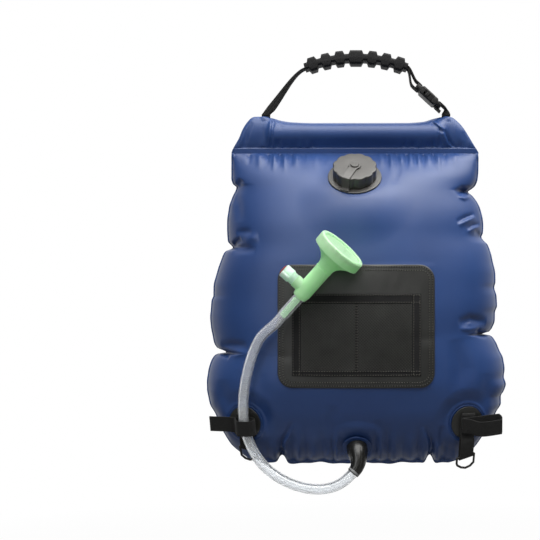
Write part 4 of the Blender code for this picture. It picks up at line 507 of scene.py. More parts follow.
# Notches in the bottom edge, the flat place under the panel, and the bead round a corner patch
NOTCH_X, NOTCH_WIDE, NOTCH_DEEP = 0.0882, 0.0042, 0.0135
FLAT_X, FLAT_Z, FLAT_MIDDLE = 0.094, 0.0745, -0.311
BEAD_RADIUS, BEAD_WIDE, BEAD_TALL = 0.0238, 0.0016, 0.0012


def half_width(share, x):
    """Half width of the chamber inside its weld rim."""
    return np.where(x < 0, LEFT_EDGE(share), RIGHT_EDGE(share)) * 0.001 - RIM


def calmed(way):
    shares, steps = np.linspace(0, 1, 121), np.linspace(-0.075, 0.075, 91)
    weights = np.exp(-((steps / 0.035) ** 2))
    near = half_width(np.clip(shares[:, None] + steps, 0, 1), way) @ weights / weights.sum()
    return table(tuple(zip(shares, near)))


CALM_LEFT, CALM_RIGHT = calmed(-1.0), calmed(1.0)


def calm_width(share, x):
    """The same, with the pinches felt only close to the edge."""
    edge = half_width(share, x)
    calm = np.where(x < 0, CALM_LEFT(share), CALM_RIGHT(share))
    calm = np.where(share > 0.86, calm + (edge - calm) * smooth((share - 0.86) / 0.08), calm)
    return edge + (calm - edge) * smooth((edge - np.abs(x)) / 0.026)


def cad_half_width(share, x):
    left, right = (sum(np.exp(-(((share - p) / PINCH_SPREAD) ** 2)) for p in pinches)
                   for pinches in (PINCHES_LEFT, PINCHES_RIGHT))
    return CAD_HALF_WIDTH * CAD_WIDTH(share) - PINCH_DEPTH * np.where(x < 0, left, right)


def pillow(x, z, deepest, edge=cad_half_width):
    share = (-TOP - z) / HEIGHT
    inside = (share > 0) & (share < 1)
    share = np.clip(share, 0, 1)
    across = np.minimum(np.abs(x) / edge(share, x), 1)
    return np.where(inside, deepest * DEPTH_SHARES(share) * np.sqrt(np.maximum(1 - across**2.2, 0)), 0)


class Seat:
    """A flat place on the front film under a stiff welded piece."""

    def __init__(self, x, z, tilt_deg, turn_deg, radius):
        tilt, turn = math.radians(tilt_deg), math.radians(turn_deg)
        self.out = Vector((math.sin(turn) * math.cos(tilt), -math.cos(turn) * math.cos(tilt),
                           math.sin(tilt)))
        right = Vector((math.cos(turn), math.sin(turn), 0))
        self.depth = float(pillow(np.array(x), np.array(z), DEPTH_FRONT)) - 0.0012
        self.radius = radius
        self.frame = Matrix((right, self.out.cross(right), self.out)).transposed().to_4x4()
        self.frame.translation = (x, -self.depth, z)

    def plane(self, x, z):
        centre = self.frame.translation
        return self.depth + ((x - centre.x) * self.out.x + (z - centre.z) * self.out.z) / self.out.y

    def weight(self, x, z, fade=0.016):
        centre = self.frame.translation
        away = np.sqrt((x - centre.x) ** 2 + (self.depth - self.plane(x, z)) ** 2 + (z - centre.z) ** 2)
        return 1 - smooth((away - self.radius) / fade)


FILLER = Seat(-0.0015, -TOP - 0.034, 48, 0, 0.0315)
LEFT_SEAT = Seat(-0.129, -TOP - HEIGHT + 0.053, -12, -18, 0.0195)
RIGHT_SEAT = Seat(0.129, -TOP - HEIGHT + 0.053, -12, 18, 0.0195)
OUTLET = Seat(0.001, -TOP - HEIGHT + 0.027, -42, 0, 0.0165)
SEATS = (FILLER, LEFT_SEAT, RIGHT_SEAT, OUTLET)
FILLER_HOLE = 0.0195


def filler_depth(x, z, depth, edge, fade=0.030):
    """The film is flat under the filler and falls straight from its rim to the full body."""
    centre, radius = FILLER.frame.translation, FILLER.radius
    tall = radius * -FILLER.out.y
    dx, dz = x - centre.x, z - centre.z
    spread = np.maximum(np.hypot(dx / radius, dz / tall), 1e-6)
    rim_x, rim_z = centre.x + dx / spread, centre.z + dz / spread
    step = FILLER.plane(rim_x, rim_z) - pillow(rim_x, rim_z, DEPTH_FRONT, edge)
    away = np.hypot(dx - dx / spread, dz - dz / spread)
    fade = fade + 0.034 * np.clip(-dz / (tall * spread), 0, 1)
    outside = depth + step * (1 - smooth(away / fade))
    return np.where(spread < 1, FILLER.plane(x, z), outside)


def front_depth(x, z, edge=cad_half_width, skin=False):
    depth = pillow(x, z, DEPTH_FRONT, edge)
    if skin:
        depth = filler_depth(x, z, depth, edge)
    for seat in SEATS[skin:]:
        weight = seat.weight(x, z, 0.022 if skin else 0.016)
        depth = depth + (seat.plane(x, z) - depth) * weight
    return np.maximum(depth, 0)


def stroke(x, z, kind, width, amount, taper, line):
    """A fold along a line, in millimetres: its height at each place. Above 0 it stands out of the bag, and
    a step is high on one side. A taper below 0 makes it deepest at its start."""
    line = np.array(line, float)
    width, amount = width * 0.001, amount * 0.001
    lengths = np.hypot(*np.diff(line, axis=0).T)
    total, run = lengths.sum(), 0.0
    best = np.full(x.shape, 1e9)
    side = np.zeros(x.shape)
    along = np.zeros(x.shape)
    for (ax, az), (bx, bz), length in zip(line, line[1:], lengths):
        ux, uz = (bx - ax) / length, (bz - az) / length
        t = np.clip((x - ax) * ux + (z - az) * uz, 0, length)
        dx, dz = x - ax - ux * t, z - az - uz * t
        away = np.hypot(dx, dz)
        closer = away < best
        best = np.where(closer, away, best)
        side = np.where(closer, -dx * uz + dz * ux, side)
        along = np.where(closer, (run + t) / total, along)
        run += length
    if taper > 0:
        ends = np.sin(math.pi * np.clip(along, 0.001, 0.999)) ** taper
    else:
        ends = np.clip(1 - along, 0, 1) ** -taper
    form = 1.6 * side / width if kind == "step" else 1
    return amount * ends * form * np.exp(-((best / width) ** 2))


def pictured(fold):
    """A fold drawn in the photograph, as stroke reads it."""
    kind, depth, width, amount, taper, *line = fold
    return kind, width, amount, taper, [seen(px, py, depth * 0.001) for px, py in line]


# Folds of the front film: kind, depth of the film there, width and height in millimetres, taper, and the
# line in pixels of the photograph. The first ones start at the rim, and the back film has them too.
RIM_FOLDS = 21
FRONT_FOLDS = (
    ("dip", 5, 3, -12, -0.35, (226, 352.2), (229.5, 353.4), (232.6, 355.3)),
    ("dip", 12, 4.2, -4.5, 0.8, (222, 344.5), (236, 343.5), (250, 344.2)),
    ("dip", 30, 4.5, 2.2, 0.9, (233, 355), (242, 352), (256, 353)),
    ("dip", 6, 2.8, -10, -0.4, (232.5, 247.4), (237.5, 243), (243.4, 240)),
    ("dip", 30, 4, -4, 0.8, (232, 250.5), (244, 249.6), (257, 250)),
    ("dip", 30, 3.6, -2.6, 0.9, (236, 233), (243, 232), (253, 232.2)),
    ("dip", 30, 5, 2.2, 0.9, (244, 241), (251, 239), (260, 238)),
    ("dip", 8, 3.4, -7.5, -0.5, (236.3, 187), (239.5, 184), (242, 180)),
    ("dip", 30, 6, -2.2, 0.8, (233, 190), (238, 205), (240, 222)),
    ("dip", 12, 3.4, -10, -0.45, (468.2, 191.7), (462, 191), (456, 194.8)),
    ("dip", 12, 2, 2.6, 0.7, (457, 197.6), (463, 199.2), (470.5, 196.8)),
    ("step", 18, 3.2, -4.2, 0.8, (455.5, 225), (464, 220.5), (475, 215.5)),
    ("step", 8, 2.8, -4, 0.8, (465, 231.5), (472, 227.5), (480, 225.5)),
    ("dip", 4, 2.6, -5, -0.5, (481.5, 236.6), (477, 234), (473, 233)),
    ("dip", 6, 2.8, -11, -0.4, (482, 333.8), (477, 332.6), (474, 329)),
    ("dip", 16, 4.8, -4.8, 0.7, (455, 322.5), (468, 318.5), (485, 321.5)),
    ("dip", 16, 2.2, 2, 0.7, (457, 327.6), (467, 328.6), (477, 326.5)),
    ("step", 30, 2.8, -7.5, -0.8, (283.2, 449), (284, 441), (290, 430), (295, 420)),
    ("dip", 10, 3, -8.5, -0.6, (283.2, 452), (283, 444)),
    ("step", 30, 3, 6.5, -0.8, (429.8, 450), (428.6, 440), (422, 424)),
    ("dip", 10, 2.8, -8.5, -0.6, (430, 459), (430.2, 446)),
    ("dip", 30, 4, -3, 0.8, (438, 446), (440, 434), (441, 424)),
    ("dip", 20, 8, -2.2, 0.9, (232, 410), (226, 395), (224, 378)),
    ("dip", 20, 8, -2.2, 0.9, (478, 410), (484, 392), (486, 372)),
    ("dip", 50, 5.5, -1.6, 0.7, (336, 437), (331, 420), (333, 404)),
    ("dip", 50, 3, 1.2, 0.7, (372, 440), (376, 432), (373, 422)),
    ("dip", 50, 5, -2.2, 0.8, (389, 455), (384, 436), (377, 418)),
    ("dip", 40, 12, -4.6, 0.9, (455, 338), (460, 368), (457, 398)),
    ("dip", 40, 11, -2.6, 0.9, (262, 398), (258, 372), (262, 350)),
    ("dip", 30, 4.5, -1.6, 0.7, (393, 186), (398, 172), (403, 158)),
)


def puckers(x, z, places, top, reach, amount):
    """Small upright folds that start at a weld and fade away from it."""
    total = np.zeros(x.shape)
    away = np.abs(z - top) / reach
    for at, width, share, length in places:
        total += amount * share * np.exp(-(((x - at) / width) ** 2)) * np.clip(1 - away / length, 0, 1) ** 1.3
    return total * smooth(np.clip(1 - away, 0, 1) * 1.5)


def pucker_places(low, high, spacing, seed):
    chance = random.Random(seed)
    places, at = [], low
    while at < high:
        at += spacing * chance.uniform(0.55, 1.5)
        places.append((at, spacing * chance.uniform(0.22, 0.4),
                       chance.choice((-1, -1, 1)) * chance.uniform(0.5, 1.1), chance.uniform(0.45, 1)))
    return places


def marked(*marks):
    """Folds at pixel columns of the photograph: column, width in millimetres, height and length shares."""
    return [((px - CENTRE_PX) * WELD_PIXEL, width * 0.001, *shares) for px, width, *shares in marks]


TOP_PUCKERS = marked(
    (247, 3.0, -0.6, 0.5), (258, 4.2, 0.8, 0.7), (266, 2.2, -0.8, 0.5), (273, 2.6, 1.0, 0.8),
    (278.5, 2.0, -1.0, 0.6), (284, 2.6, 0.9, 0.9), (290, 1.8, -0.9, 0.6), (296, 3.0, 0.9, 0.7),
    (303, 2.2, -0.6, 0.5), (316, 4.0, 0.6, 0.9), (324, 2.4, -0.5, 0.5), (382, 4.0, 0.8, 1.0),
    (388, 2.0, -0.8, 0.7), (392, 2.0, 0.7, 1.0), (398, 1.8, -0.8, 0.6), (402.5, 2.4, 0.9, 0.8),
    (407.5, 1.7, -1.0, 0.7), (412, 2.2, 0.9, 0.6), (416, 1.6, -0.9, 0.5), (420, 2.2, 1.0, 0.8),
    (425, 1.7, -1.0, 0.6), (430, 2.3, 0.9, 0.6), (435, 1.7, -0.9, 0.5), (440, 2.6, 0.8, 0.9),
    (447, 2.4, -0.6, 0.5), (457, 4.0, 0.6, 0.6))
HEM_PUCKERS = marked(
    (292, 3.4, -0.8, 0.8), (299, 3.6, 0.9, 0.9), (306, 3.0, -0.7, 0.7), (314, 4.4, 0.7, 0.8),
    (323, 3.2, -0.6, 0.8), (333, 1.8, -1.0, 0.75), (337, 3.2, 0.8, 0.9), (346, 3.0, -0.5, 0.6),
    (369, 2.6, 0.7, 0.7), (375, 2.2, -0.8, 0.9), (381, 3.4, 0.9, 1.0), (388, 2.4, -0.8, 0.8),
    (395, 4.0, 0.7, 0.8), (403, 2.8, -0.6, 0.6), (411, 4.2, 0.8, 0.7), (419, 2.6, -0.8, 0.9),
    (424, 2.6, 0.6, 0.6), (438, 3.4, 0.9, 0.8), (445, 2.6, -0.7, 0.6), (274, 3.4, 0.7, 0.5),
    (266, 3.0, -0.5, 0.4), (254, 4.0, 0.5, 0.3), (456, 3.2, 0.6, 0.5))


def film_relief(x, z, front):
    relief = np.zeros(x.shape)
    for fold in FRONT_FOLDS if front else FRONT_FOLDS[:RIM_FOLDS]:
        kind, width, amount, taper, line = pictured(fold)
        if not front:
            line = [(-px * 0.98, pz - 0.002) for px, pz in line]
            width, amount = width * 1.1, amount * 0.7
        relief += stroke(x, z, kind, width, amount, taper, line)
    relief += puckers(x, z, TOP_PUCKERS, -TOP, 0.036, 0.0052)
    relief += puckers(x, z, HEM_PUCKERS, -TOP - HEIGHT, 0.072, 0.0084)
    # the slow unevenness of soft film
    return relief + 0.0008 * np.sin(x * 31 + 1.3) * np.sin(z * 27 + 0.4) + 0.0006 * np.sin(x * 17 - z * 43)


def chamber_grid(front, columns=260, rows=300):
    u = np.linspace(-1, 1, columns + 1)
    v = np.linspace(0, 1, rows + 1)
    u = np.concatenate(([-1.0], 0.55 * np.sin(u * math.pi / 2) + 0.45 * u, [1.0]))
    rim = np.zeros(len(u))
    rim[0], rim[-1] = -RIM, RIM
    U, V = np.meshgrid(u, 0.75 * v + 0.25 * (1 - np.cos(math.pi * v)) / 2)
    x = U * half_width(V, U) + rim
    z = -TOP - 0.0002 - V * (HEIGHT - 0.0002)
    # two notches and a slight wave in the bottom edge
    z = z + NOTCH_DEEP * np.exp(-(((np.abs(x) - NOTCH_X) / NOTCH_WIDE) ** 2)) * V**24
    wave = 0.0010 * np.sin(z * 420) + 0.0007 * np.sin(z * 255 + 1)
    z = z + (0.0009 * np.sin(x * 118 + 0.6) + 0.0005 * np.sin(x * 263)) * V**30
    level = -TOP - V * (HEIGHT + FOOT_RIM)
    calm = calm_width(V, x)
    deep = pillow(x, level, DEPTH_FRONT if front else DEPTH_BACK, lambda share, at: calm)
    across = np.abs(U)
    fade = smooth((1 - across) / 0.045) * smooth(V / 0.012) * smooth((1 - V) / 0.02)
    flat = np.zeros(x.shape)
    if front:
        deep = deep + (front_depth(x, level, lambda share, at: calm, True) - deep) * np.sqrt(fade)
        panel = smooth((FLAT_X - np.abs(x)) / 0.01) * smooth((FLAT_Z - np.abs(z - FLAT_MIDDLE)) / 0.008)
        flat = np.maximum.reduce([panel] + [seat.weight(x, z, 0.007) for seat in SEATS])
    deep = deep + film_relief(x, z, front) * fade * (1 - flat)
    if front:  # a welded bead round each corner patch
        for seat in (LEFT_SEAT, RIGHT_SEAT):
            away = distance(x, deep, z, seat.frame.translation)
            deep = deep + BEAD_TALL * np.exp(-(((away - BEAD_RADIUS) / BEAD_WIDE) ** 2))
    lift = np.where(rim == 0, 0.0002 + SKIN * 0.8 * smooth((1 - V) / 0.012), 0.0001)
    y = np.maximum(deep, 0) + lift
    return x, (-y if front else y) + wave * smooth((across - 0.985) / 0.015) * 0.5, z


def distance(x, depth, z, centre):
    return np.sqrt((x - centre.x) ** 2 + (depth + centre.y) ** 2 + (z - centre.z) ** 2)


def sheet_faces(rows, columns, keep=None):
    starts = [r * columns + c for r in range(rows - 1) for c in range(columns - 1)
              if keep is None or keep[r, c]]
    return [(a, a + 1, a + columns + 1, a + columns) for a in starts]


def film_piece(name, x, y, z, node, back, keep=None):
    faces = sheet_faces(*x.shape, keep)
    if back:
        faces = [face[::-1] for face in faces]
    points = np.stack([x.ravel(), y.ravel(), z.ravel()], 1)
    mesh_piece(name, points, faces, FILM, "bag", (node,), 180, fix=False)


def build_chamber():
    x, y, z = chamber_grid(True)
    outside_filler = distance(x, -y, z, FILLER.frame.translation) > FILLER_HOLE
    film_piece("film_front", x, y, z, "bag_front", False, outside_filler[:-1, :-1])
    film_piece("film_back", *chamber_grid(False), "bag_back", True)


build_chamber()


# Top sleeve: round over its tube, flat and creased at the ears, pressed flat at the weld

SLEEVE_ENDS = (-0.1494, 0.147)
SLEEVE_LEVEL = -0.0692
STRAP_X = 0.108
MOUTH_WIDE, MOUTH_TALL = 0.0052, 0.0030
EAR_X, EAR_FADE = 0.0985, 0.014
WRAP = math.radians(122)  # how far the film goes round the tube
ROUND_SHARE, BAND_SHARE = 0.58, 0.85  # shares of the film's way down where it leaves the tube and is pressed
TUBE_R = 0.0124
TUBE_Z = -0.0816
TUBE_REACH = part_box("hanger_tube")[1][0] + 0.0008
BAND_TOP = -0.0997
BAND_LOW = -0.1066
SLEEVE_PUCKERS = pucker_places(-0.118, -0.055, 0.0085, 21) + pucker_places(0.045, 0.116, 0.0085, 22)
# Place along the sleeve, height of its top edge, in millimetres
SLEEVE_TOP = table((
    (-149.4, -104.4), (-148.8, -102.7), (-140.4, -87.1), (-136, -76.5), (-130.8, -68.4), (-125.5, -63),
    (-121.8, -61.6), (-112, -61.4), (-101, -63.2), (-90, -66.2), (-76, -68.2), (-50, -69.2), (0, -69.2),
    (60, -69.0), (80, -67.6), (91, -64.6), (98, -62.9), (106, -61.5), (114, -62.0), (122.4, -67.8),
    (128.4, -74.5), (136, -86.4), (143.5, -99), (147, -104.4)))
SLEEVE_FOLDS = (
    ("step", 6, 2.2, -3, 0.5, (272.5, 116), (271.5, 130), (269, 149)),
    ("dip", 8, 2.6, -1.6, 0.7, (281, 124), (279, 134), (277, 147)),
    ("dip", 4, 3, -1.8, 0.7, (252, 122), (247, 134), (243, 149)),
    ("step", 8, 2.4, 3.2, 0.5, (432, 121), (438, 127), (444, 132)),
    ("step", 6, 2.4, -3.4, 0.5, (443, 130), (448, 141), (456, 152)),
    ("dip", 8, 2.2, -1.6, 0.7, (438, 133), (440, 142), (441, 149)),
    ("dip", 4, 3, -1.6, 0.7, (463, 131), (466, 140), (466, 150)),
)


def build_sleeve(name, side, node):
    low, high = SLEEVE_ENDS
    fine = 0.03
    xs = np.concatenate((np.linspace(low, low + fine, 34)[:-1], np.linspace(low + fine, high - fine, 200),
                         np.linspace(high - fine, high, 34)[1:]))
    X, P = np.meshgrid(xs, np.linspace(0, 1, 62))
    top = SLEEVE_TOP(X * 1000) * 0.001
    # round over the tube, then down to the pressed band
    theta = np.clip(P / ROUND_SHARE, 0, 1) * WRAP
    t = np.clip((P - ROUND_SHARE) / (BAND_SHARE - ROUND_SHARE), 0, 1)
    start_h, start_z, run = TUBE_R * math.sin(WRAP), TUBE_Z + TUBE_R * math.cos(WRAP), 0.012
    h_fall = hermite(t, start_h, math.cos(WRAP) * run, 0.0021)
    z_fall = hermite(t, start_z, -math.sin(WRAP) * run, BAND_TOP, -0.007)
    h_tube = np.where(P <= ROUND_SHARE, TUBE_R * np.sin(theta), h_fall)
    z_tube = np.where(P <= ROUND_SHARE, TUBE_Z + TUBE_R * np.cos(theta), z_fall)
    z_tube = z_tube + (top - SLEEVE_LEVEL) * np.clip(1 - P / 0.5, 0, 1) ** 2
    # flat at the ears, with a mouth for each strap
    q = np.clip(P / BAND_SHARE, 0, 1)
    z_ear = top + (np.minimum(BAND_TOP, top - 0.0005) - top) * q
    room = np.clip((top - BAND_TOP) / 0.035, 0, 1)
    mouth = np.exp(-(((np.abs(X) - STRAP_X) / MOUTH_WIDE) ** 4)) * MOUTH_TALL * np.clip(1 - q * 6, 0, 1)
    h_ear = 0.0009 + 0.0062 * room * np.sin(math.pi * q**0.8) ** 0.8 + mouth
    ear = smooth((np.abs(X) - EAR_X) / EAR_FADE)
    h = h_tube * (1 - ear) + h_ear * ear
    z = z_tube * (1 - ear) + z_ear * ear
    # the pressed band over the weld
    band = np.clip((P - BAND_SHARE) / (1 - BAND_SHARE), 0, 1)
    low_edge = np.minimum(BAND_LOW, top - 0.001)
    z = np.minimum(np.where(P > BAND_SHARE, BAND_TOP + (low_edge - BAND_TOP) * band, z), top)
    h = np.where(P > BAND_SHARE, 0.0026 - 0.0012 * band, h)
    relief = np.zeros(X.shape)
    for *form, line in map(pictured, SLEEVE_FOLDS):
        relief += stroke(X, z, *form, [(px * -side, pz) for px, pz in line])
    relief += puckers(X, z, SLEEVE_PUCKERS, BAND_TOP, 0.020, 0.0021)
    fade = smooth((BAND_SHARE - P) / 0.08) * smooth(P / 0.12)
    h = np.maximum(h + relief * fade, 0.0006)
    over_tube = np.sqrt(np.maximum((TUBE_R - 0.0002) ** 2 - (z - TUBE_Z) ** 2, 0))
    h = np.where(np.abs(X) < TUBE_REACH, np.maximum(h, over_tube), h)
    # the two films meet in a seam, open only where the straps leave
    seam = smooth(P / 0.02) * smooth(np.minimum(X - low, high - X) / 0.004)
    film_piece(name, X, side * np.maximum(h * seam, mouth * ear), z, node, side > 0)


build_sleeve("sleeve_front_film", -1, "sleeve_front")
build_sleeve("sleeve_back_film", 1, "sleeve_back")


# Straps: a closed rounded section carried along a line, with its weave laid along it

def square_section():
    """Places round a square, from -1 to 1, closer on its long sides."""
    short, long = np.linspace(-1, 1, 13)[:-1], np.linspace(-1, 1, 17)[:-1]
    return ([(-1.0, t) for t in short] + [(t, 1.0) for t in long]
            + [(1.0, -t) for t in short] + [(-t, -1.0) for t in long])


SECTION = square_section()
GATHER_FOLDS = 3


def band(name, stations, material, body, replaced=()):
    """A strap. A station is a centre, half the width, half the thickness and how gathered it is, 0 to 1."""
    count = len(SECTION)
    rings, places = [], []
    along = 0.0
    for i, (centre, wide, thick, gather) in enumerate(stations):
        if i:
            along += (centre - stations[i - 1][0]).length
        square = 9 - 5 * gather
        ring = []
        for u, v in SECTION:
            shrink = (abs(u) ** square + abs(v) ** square) ** (-1 / square)
            a, b = u * shrink, v * shrink
            if gather > 0:
                turn = math.pi * GATHER_FOLDS * (b + 1) + 0.7 * math.sin(along * 260)
                a *= 1 - 0.34 * gather * (0.5 - 0.5 * math.cos(turn)) * abs(a) ** 2
            elif abs(b) > 0.5:
                b *= 1 + 0.10 * math.exp(-(((abs(a) - 0.93) / 0.05) ** 2))
            ring.append(centre + wide * a + thick * b)
        rings.append(ring)
        run = [0.0]
        for k in range(count):
            run.append(run[-1] + (ring[(k + 1) % count] - ring[k]).length)
        places.append([(r, along) for r in run])
    corners = [(low[k], low[k + 1], high[k + 1], high[k])
               for low, high in zip(places, places[1:]) for k in range(count)]
    corners += [places[0][count - 1::-1], places[-1][:count]]
    return mesh_piece(name, *capped(rings), material, body, replaced, 180, corners=corners)


def flat_stations(line, width, thickness, wide):
    """Stations of a strap whose width runs along one direction."""
    return [(centre, wide * (width / 2), run.cross(wide).normalized() * (thickness / 2), 0.0)
            for centre, run in zip(line, headings(line))]


Y = Vector((0, 1, 0))
WEBBING_WIDE, WEBBING_THICK = 0.018, 0.0018
GATHER_WIDE, GATHER_DEEP = 0.0104, 0.0044


def gathered_stations(line, full=1.0):
    """Webbing that is flat at the start of the line and drawn into a bundle at its end."""
    out = []
    for i, (centre, run) in enumerate(zip(line, headings(line))):
        t = i / (len(line) - 1)
        gather = float(smooth(t / full))
        in_plane = WEBBING_THICK + (GATHER_WIDE - WEBBING_THICK) * float(smooth(t))
        deep = WEBBING_WIDE + (GATHER_DEEP - WEBBING_WIDE) * gather
        in_plane *= 1 - 0.15 * gather * (1 - t)
        side = run.cross(Y).normalized()
        level = Vector((math.copysign(1, side.x), 0, 0))
        side = side.lerp(level, float(smooth((t - 0.8) / 0.2))).normalized()
        out.append((centre, Y * (deep / 2), side * (in_plane / 2), gather))
    return out


def tapered_end(stations):
    """Rounds a bundle's last stretch about the swing axis."""
    centre, wide, thick, gather = stations[-1]
    for share in (0.45, 0.72, 0.9, 1.0):
        slim = math.sqrt(max(1 - share**2, 0.05))
        stations.append((centre - Vector((0, 0, GATHER_DEEP / 2 * share)), wide * slim, thick * 0.99, gather))
    return stations


HANDLE_LEFT = millimetres((
    (-108, 0, -59.1), (-103.73, 0, -54.24), (-99.56, 0, -48.98), (-95.47, 0, -43.47),
    (-91.45, 0, -37.84), (-87.5, 0, -32.22), (-83.6, 0, -26.74), (-79.76, 0, -21.53),
    (-75.95, 0, -16.73), (-72.17, 0, -12.47), (-68.41, 0, -8.88), (-64.66, 0, -6.1),
    (-60.92, 0, -4.25),
))
# From the grip's left end through it, round the socket's bar and back into the grip
HANDLE_FLAT = millimetres((
    (-60.92, 0, -4.25), (-51.13, 0, -0.75), (-41.14, 0, 2.12), (-31, 0, 4.37), (-20.73, 0, 5.99),
    (-10.39, 0, 6.96), (-0, 0, 7.28), (10.39, 0, 6.96), (20.73, 0, 5.99), (31, 0, 4.37),
    (41.14, 0, 2.12), (51.13, 0, -0.75), (60.92, 0, -4.25), (62.71, 0, -6.12), (63.81, 0, -9.63),
    (64.51, 0, -14.02), (65.13, 0, -18.55), (65.97, 0, -22.47), (67.36, 0, -25.02),
    (72.93, 0, -30.19), (73.79, 0, -30.51), (74.63, 0, -30.12), (78.03, 0, -26.45),
    (78.35, 0, -25.59), (77.96, 0, -24.76), (72.38, 0, -19.59), (70.74, 0, -17.36),
    (69.09, 0, -14.09), (67.38, 0, -10.37), (65.6, 0, -6.77), (63.71, 0, -3.88), (61.68, 0, -2.29),
    (51.77, 0, 1.25),
))
ANCHOR_WRAP = millimetres((
    (100.82, 0, -56.01), (95.24, 0, -50.84), (94.85, 0, -50.01), (95.17, 0, -49.15),
    (98.57, 0, -45.48), (99.41, 0, -45.09), (100.27, 0, -45.41), (105.84, 0, -50.58),
))
ANCHOR_DROP = millimetres((
    (105.84, 0, -50.58), (106.79, 0, -51.72), (107.41, 0, -53.03), (107.77, 0, -54.47),
    (107.94, 0, -55.99), (108, 0, -57.55), (108, 0, -59.1),
))
CORE_LEFT = millimetres((
    (-108, 0, -61.6), (-107.8, 0, -64.3), (-107.21, 0, -66.9), (-106.27, 0, -69.37),
    (-105, 0, -71.67), (-103.44, 0, -73.8), (-101.63, 0, -75.72), (-99.58, 0, -77.42),
    (-97.33, 0, -78.86), (-94.92, 0, -80.02), (-92.37, 0, -80.88), (-89.72, 0, -81.42),
    (-87, 0, -81.6),
))


def facing(stations, other):
    """The stations, with their thickness turned to the same side as the other station's."""
    if (stations[0][2] - other[2]).length > WEBBING_THICK / 2:
        return [(centre, wide, -thick, gather) for centre, wide, thick, gather in stations]
    return stations


def build_webbing():
    gathered = gathered_stations(curve_through(HANDLE_LEFT[::-1], 5))
    flat = flat_stations(curve_through(HANDLE_FLAT, 4), WEBBING_WIDE, WEBBING_THICK, Y)[1:]
    stations = facing(tapered_end(gathered), flat[0])[::-1] + flat
    strap = band("handle_strap", stations, WEBBING, "handle", ("handle_webbing",))
    bending(strap)
    wrap = flat_stations(curve_through(ANCHOR_WRAP, 4), WEBBING_WIDE, WEBBING_THICK, Y)
    drop = tapered_end(gathered_stations(curve_through(ANCHOR_DROP, 5), 0.55))
    stations = wrap + facing(drop, wrap[-1])[1:]
    strap = band("anchor_strap", stations, WEBBING, "handle", ("anchor_webbing",))
    bending(strap)
    line = curve_through(CORE_LEFT + [Vector((-p.x, 0, p.z)) for p in reversed(CORE_LEFT)], 3)
    stations = []
    last = len(line) - 1
    for i, (centre, run) in enumerate(zip(line, headings(line))):
        inward = min(i, last - i) / (last / 2 * 0.96)
        in_plane = GATHER_WIDE + (GATHER_DEEP - GATHER_WIDE) * float(smooth(inward * 2))
        deep = GATHER_DEEP + (0.0078 - GATHER_DEEP) * float(smooth(inward * 4 - 3))
        stations.append((centre, Y * (deep / 2), run.cross(Y).normalized() * (in_plane / 2), 0.8))
    band("core_strap", stations, WEBBING, "bag", ("core_webbing",))


build_webbing()


# Grip, buckle, filler, cap and spout

PIN_HOLE = 0.0029
SPOUT_LINE = millimetres((
    (1, -49.25, -451.87), (1.32, -51.83, -454.36), (1.99, -54.93, -457.69), (2.6, -58.24, -461.65),
    (2.73, -61.45, -466.05), (1.98, -64.26, -470.69), (-0.09, -66.37, -475.37), (-3.88, -67.48, -479.9),
))


def build_cap():
    place = FILLER.frame
    low, top, ceiling, lip = 0.0035, 0.0177, 0.0155, 0.0168
    inner, outer = 0.0221, 0.0258
    profile = ((inner, low), (outer, low), (outer, lip), (0.0249, top), (PIN_HOLE, top),
               (PIN_HOLE, ceiling), (inner, ceiling))

    def scallops(radius, angle):
        if radius < inner + 0.0009:
            return radius
        return radius - 0.0013 * (0.5 + 0.5 * math.cos(12 * angle)) ** 2

    turned("cap_skin", place, rounded(profile, 0.0006), CAP_BLACK, "screw_cap", ("cap",), 240, scallops, 35)
    refined("tether_pin", "cap_pin", CAP_BLACK, 0.0003, 3)
    tether = refined("cap_tether", "bag", CAP_BLACK, 0.0003, 2)
    bending(tether)


def build_fittings():
    refined("grip", "handle", RUBBER, 0.0009, 3)
    for node, body in (("buckle_socket", "handle"), ("buckle_plug", "handle"),
                       ("buckle_prong_front", "prong_front"), ("buckle_prong_back", "prong_back")):
        refined(node, body, BUCKLE, 0.0005, 3)
    refined("filler_neck", "bag", CAP_BLACK, 0.0004, 2)
    build_cap()
    refined("outlet_flange", "bag", FILM, 0.0004, 2)
    line = curve_through(SPOUT_LINE, 5)
    bell = table(((0, 0.0122), (0.2, 0.0121), (0.4, 0.0110), (0.6, 0.0092), (0.8, 0.0078), (1, 0.0070)))
    pipe("spout_skin", line, lambda t: float(bell(t)), 0.0040, 48, GLOSS_BLACK, ("outlet_spout",), 50)
    pipe("spout_collar", line[-9:-1], 0.0073, 0.0066, 40, GREY, (), 50)


build_fittings()


# Shower head

def build_head():
    for node, body, material, bevel in (
        ("head_body", "bag", GREEN, 0.0004), ("rose_cone", "bag", GREEN, 0.0003),
        ("rose_ring", "bag", GREEN, 0.00025), ("rose_plate", "bag", GREEN, 0.0),
        ("valve_knob", "valve", PALE_GREEN, 0.0005),
    ):
        refined(node, body, material, bevel, 2)
    across = HEAD_AXIS.cross(HEAD_VALVE)
    place = frame_at(Vector((-0.0565, -0.0988, -0.2691)), across, HEAD_VALVE.cross(across), HEAD_VALVE)
    radius, base = 0.0062, 0.0326
    dome = [(0, base), (radius, base)]
    dome += [(radius * math.cos(a), 0.0333 + 0.0021 * math.sin(a)) for a in np.linspace(0, 1.4, 8)]
    turned("knob_marker_dome", place, dome + [(0, 0.0354)], RED, "valve", ("knob_marker",), 64)


build_head()


# Panel, pockets and their bindings, laid on the front film

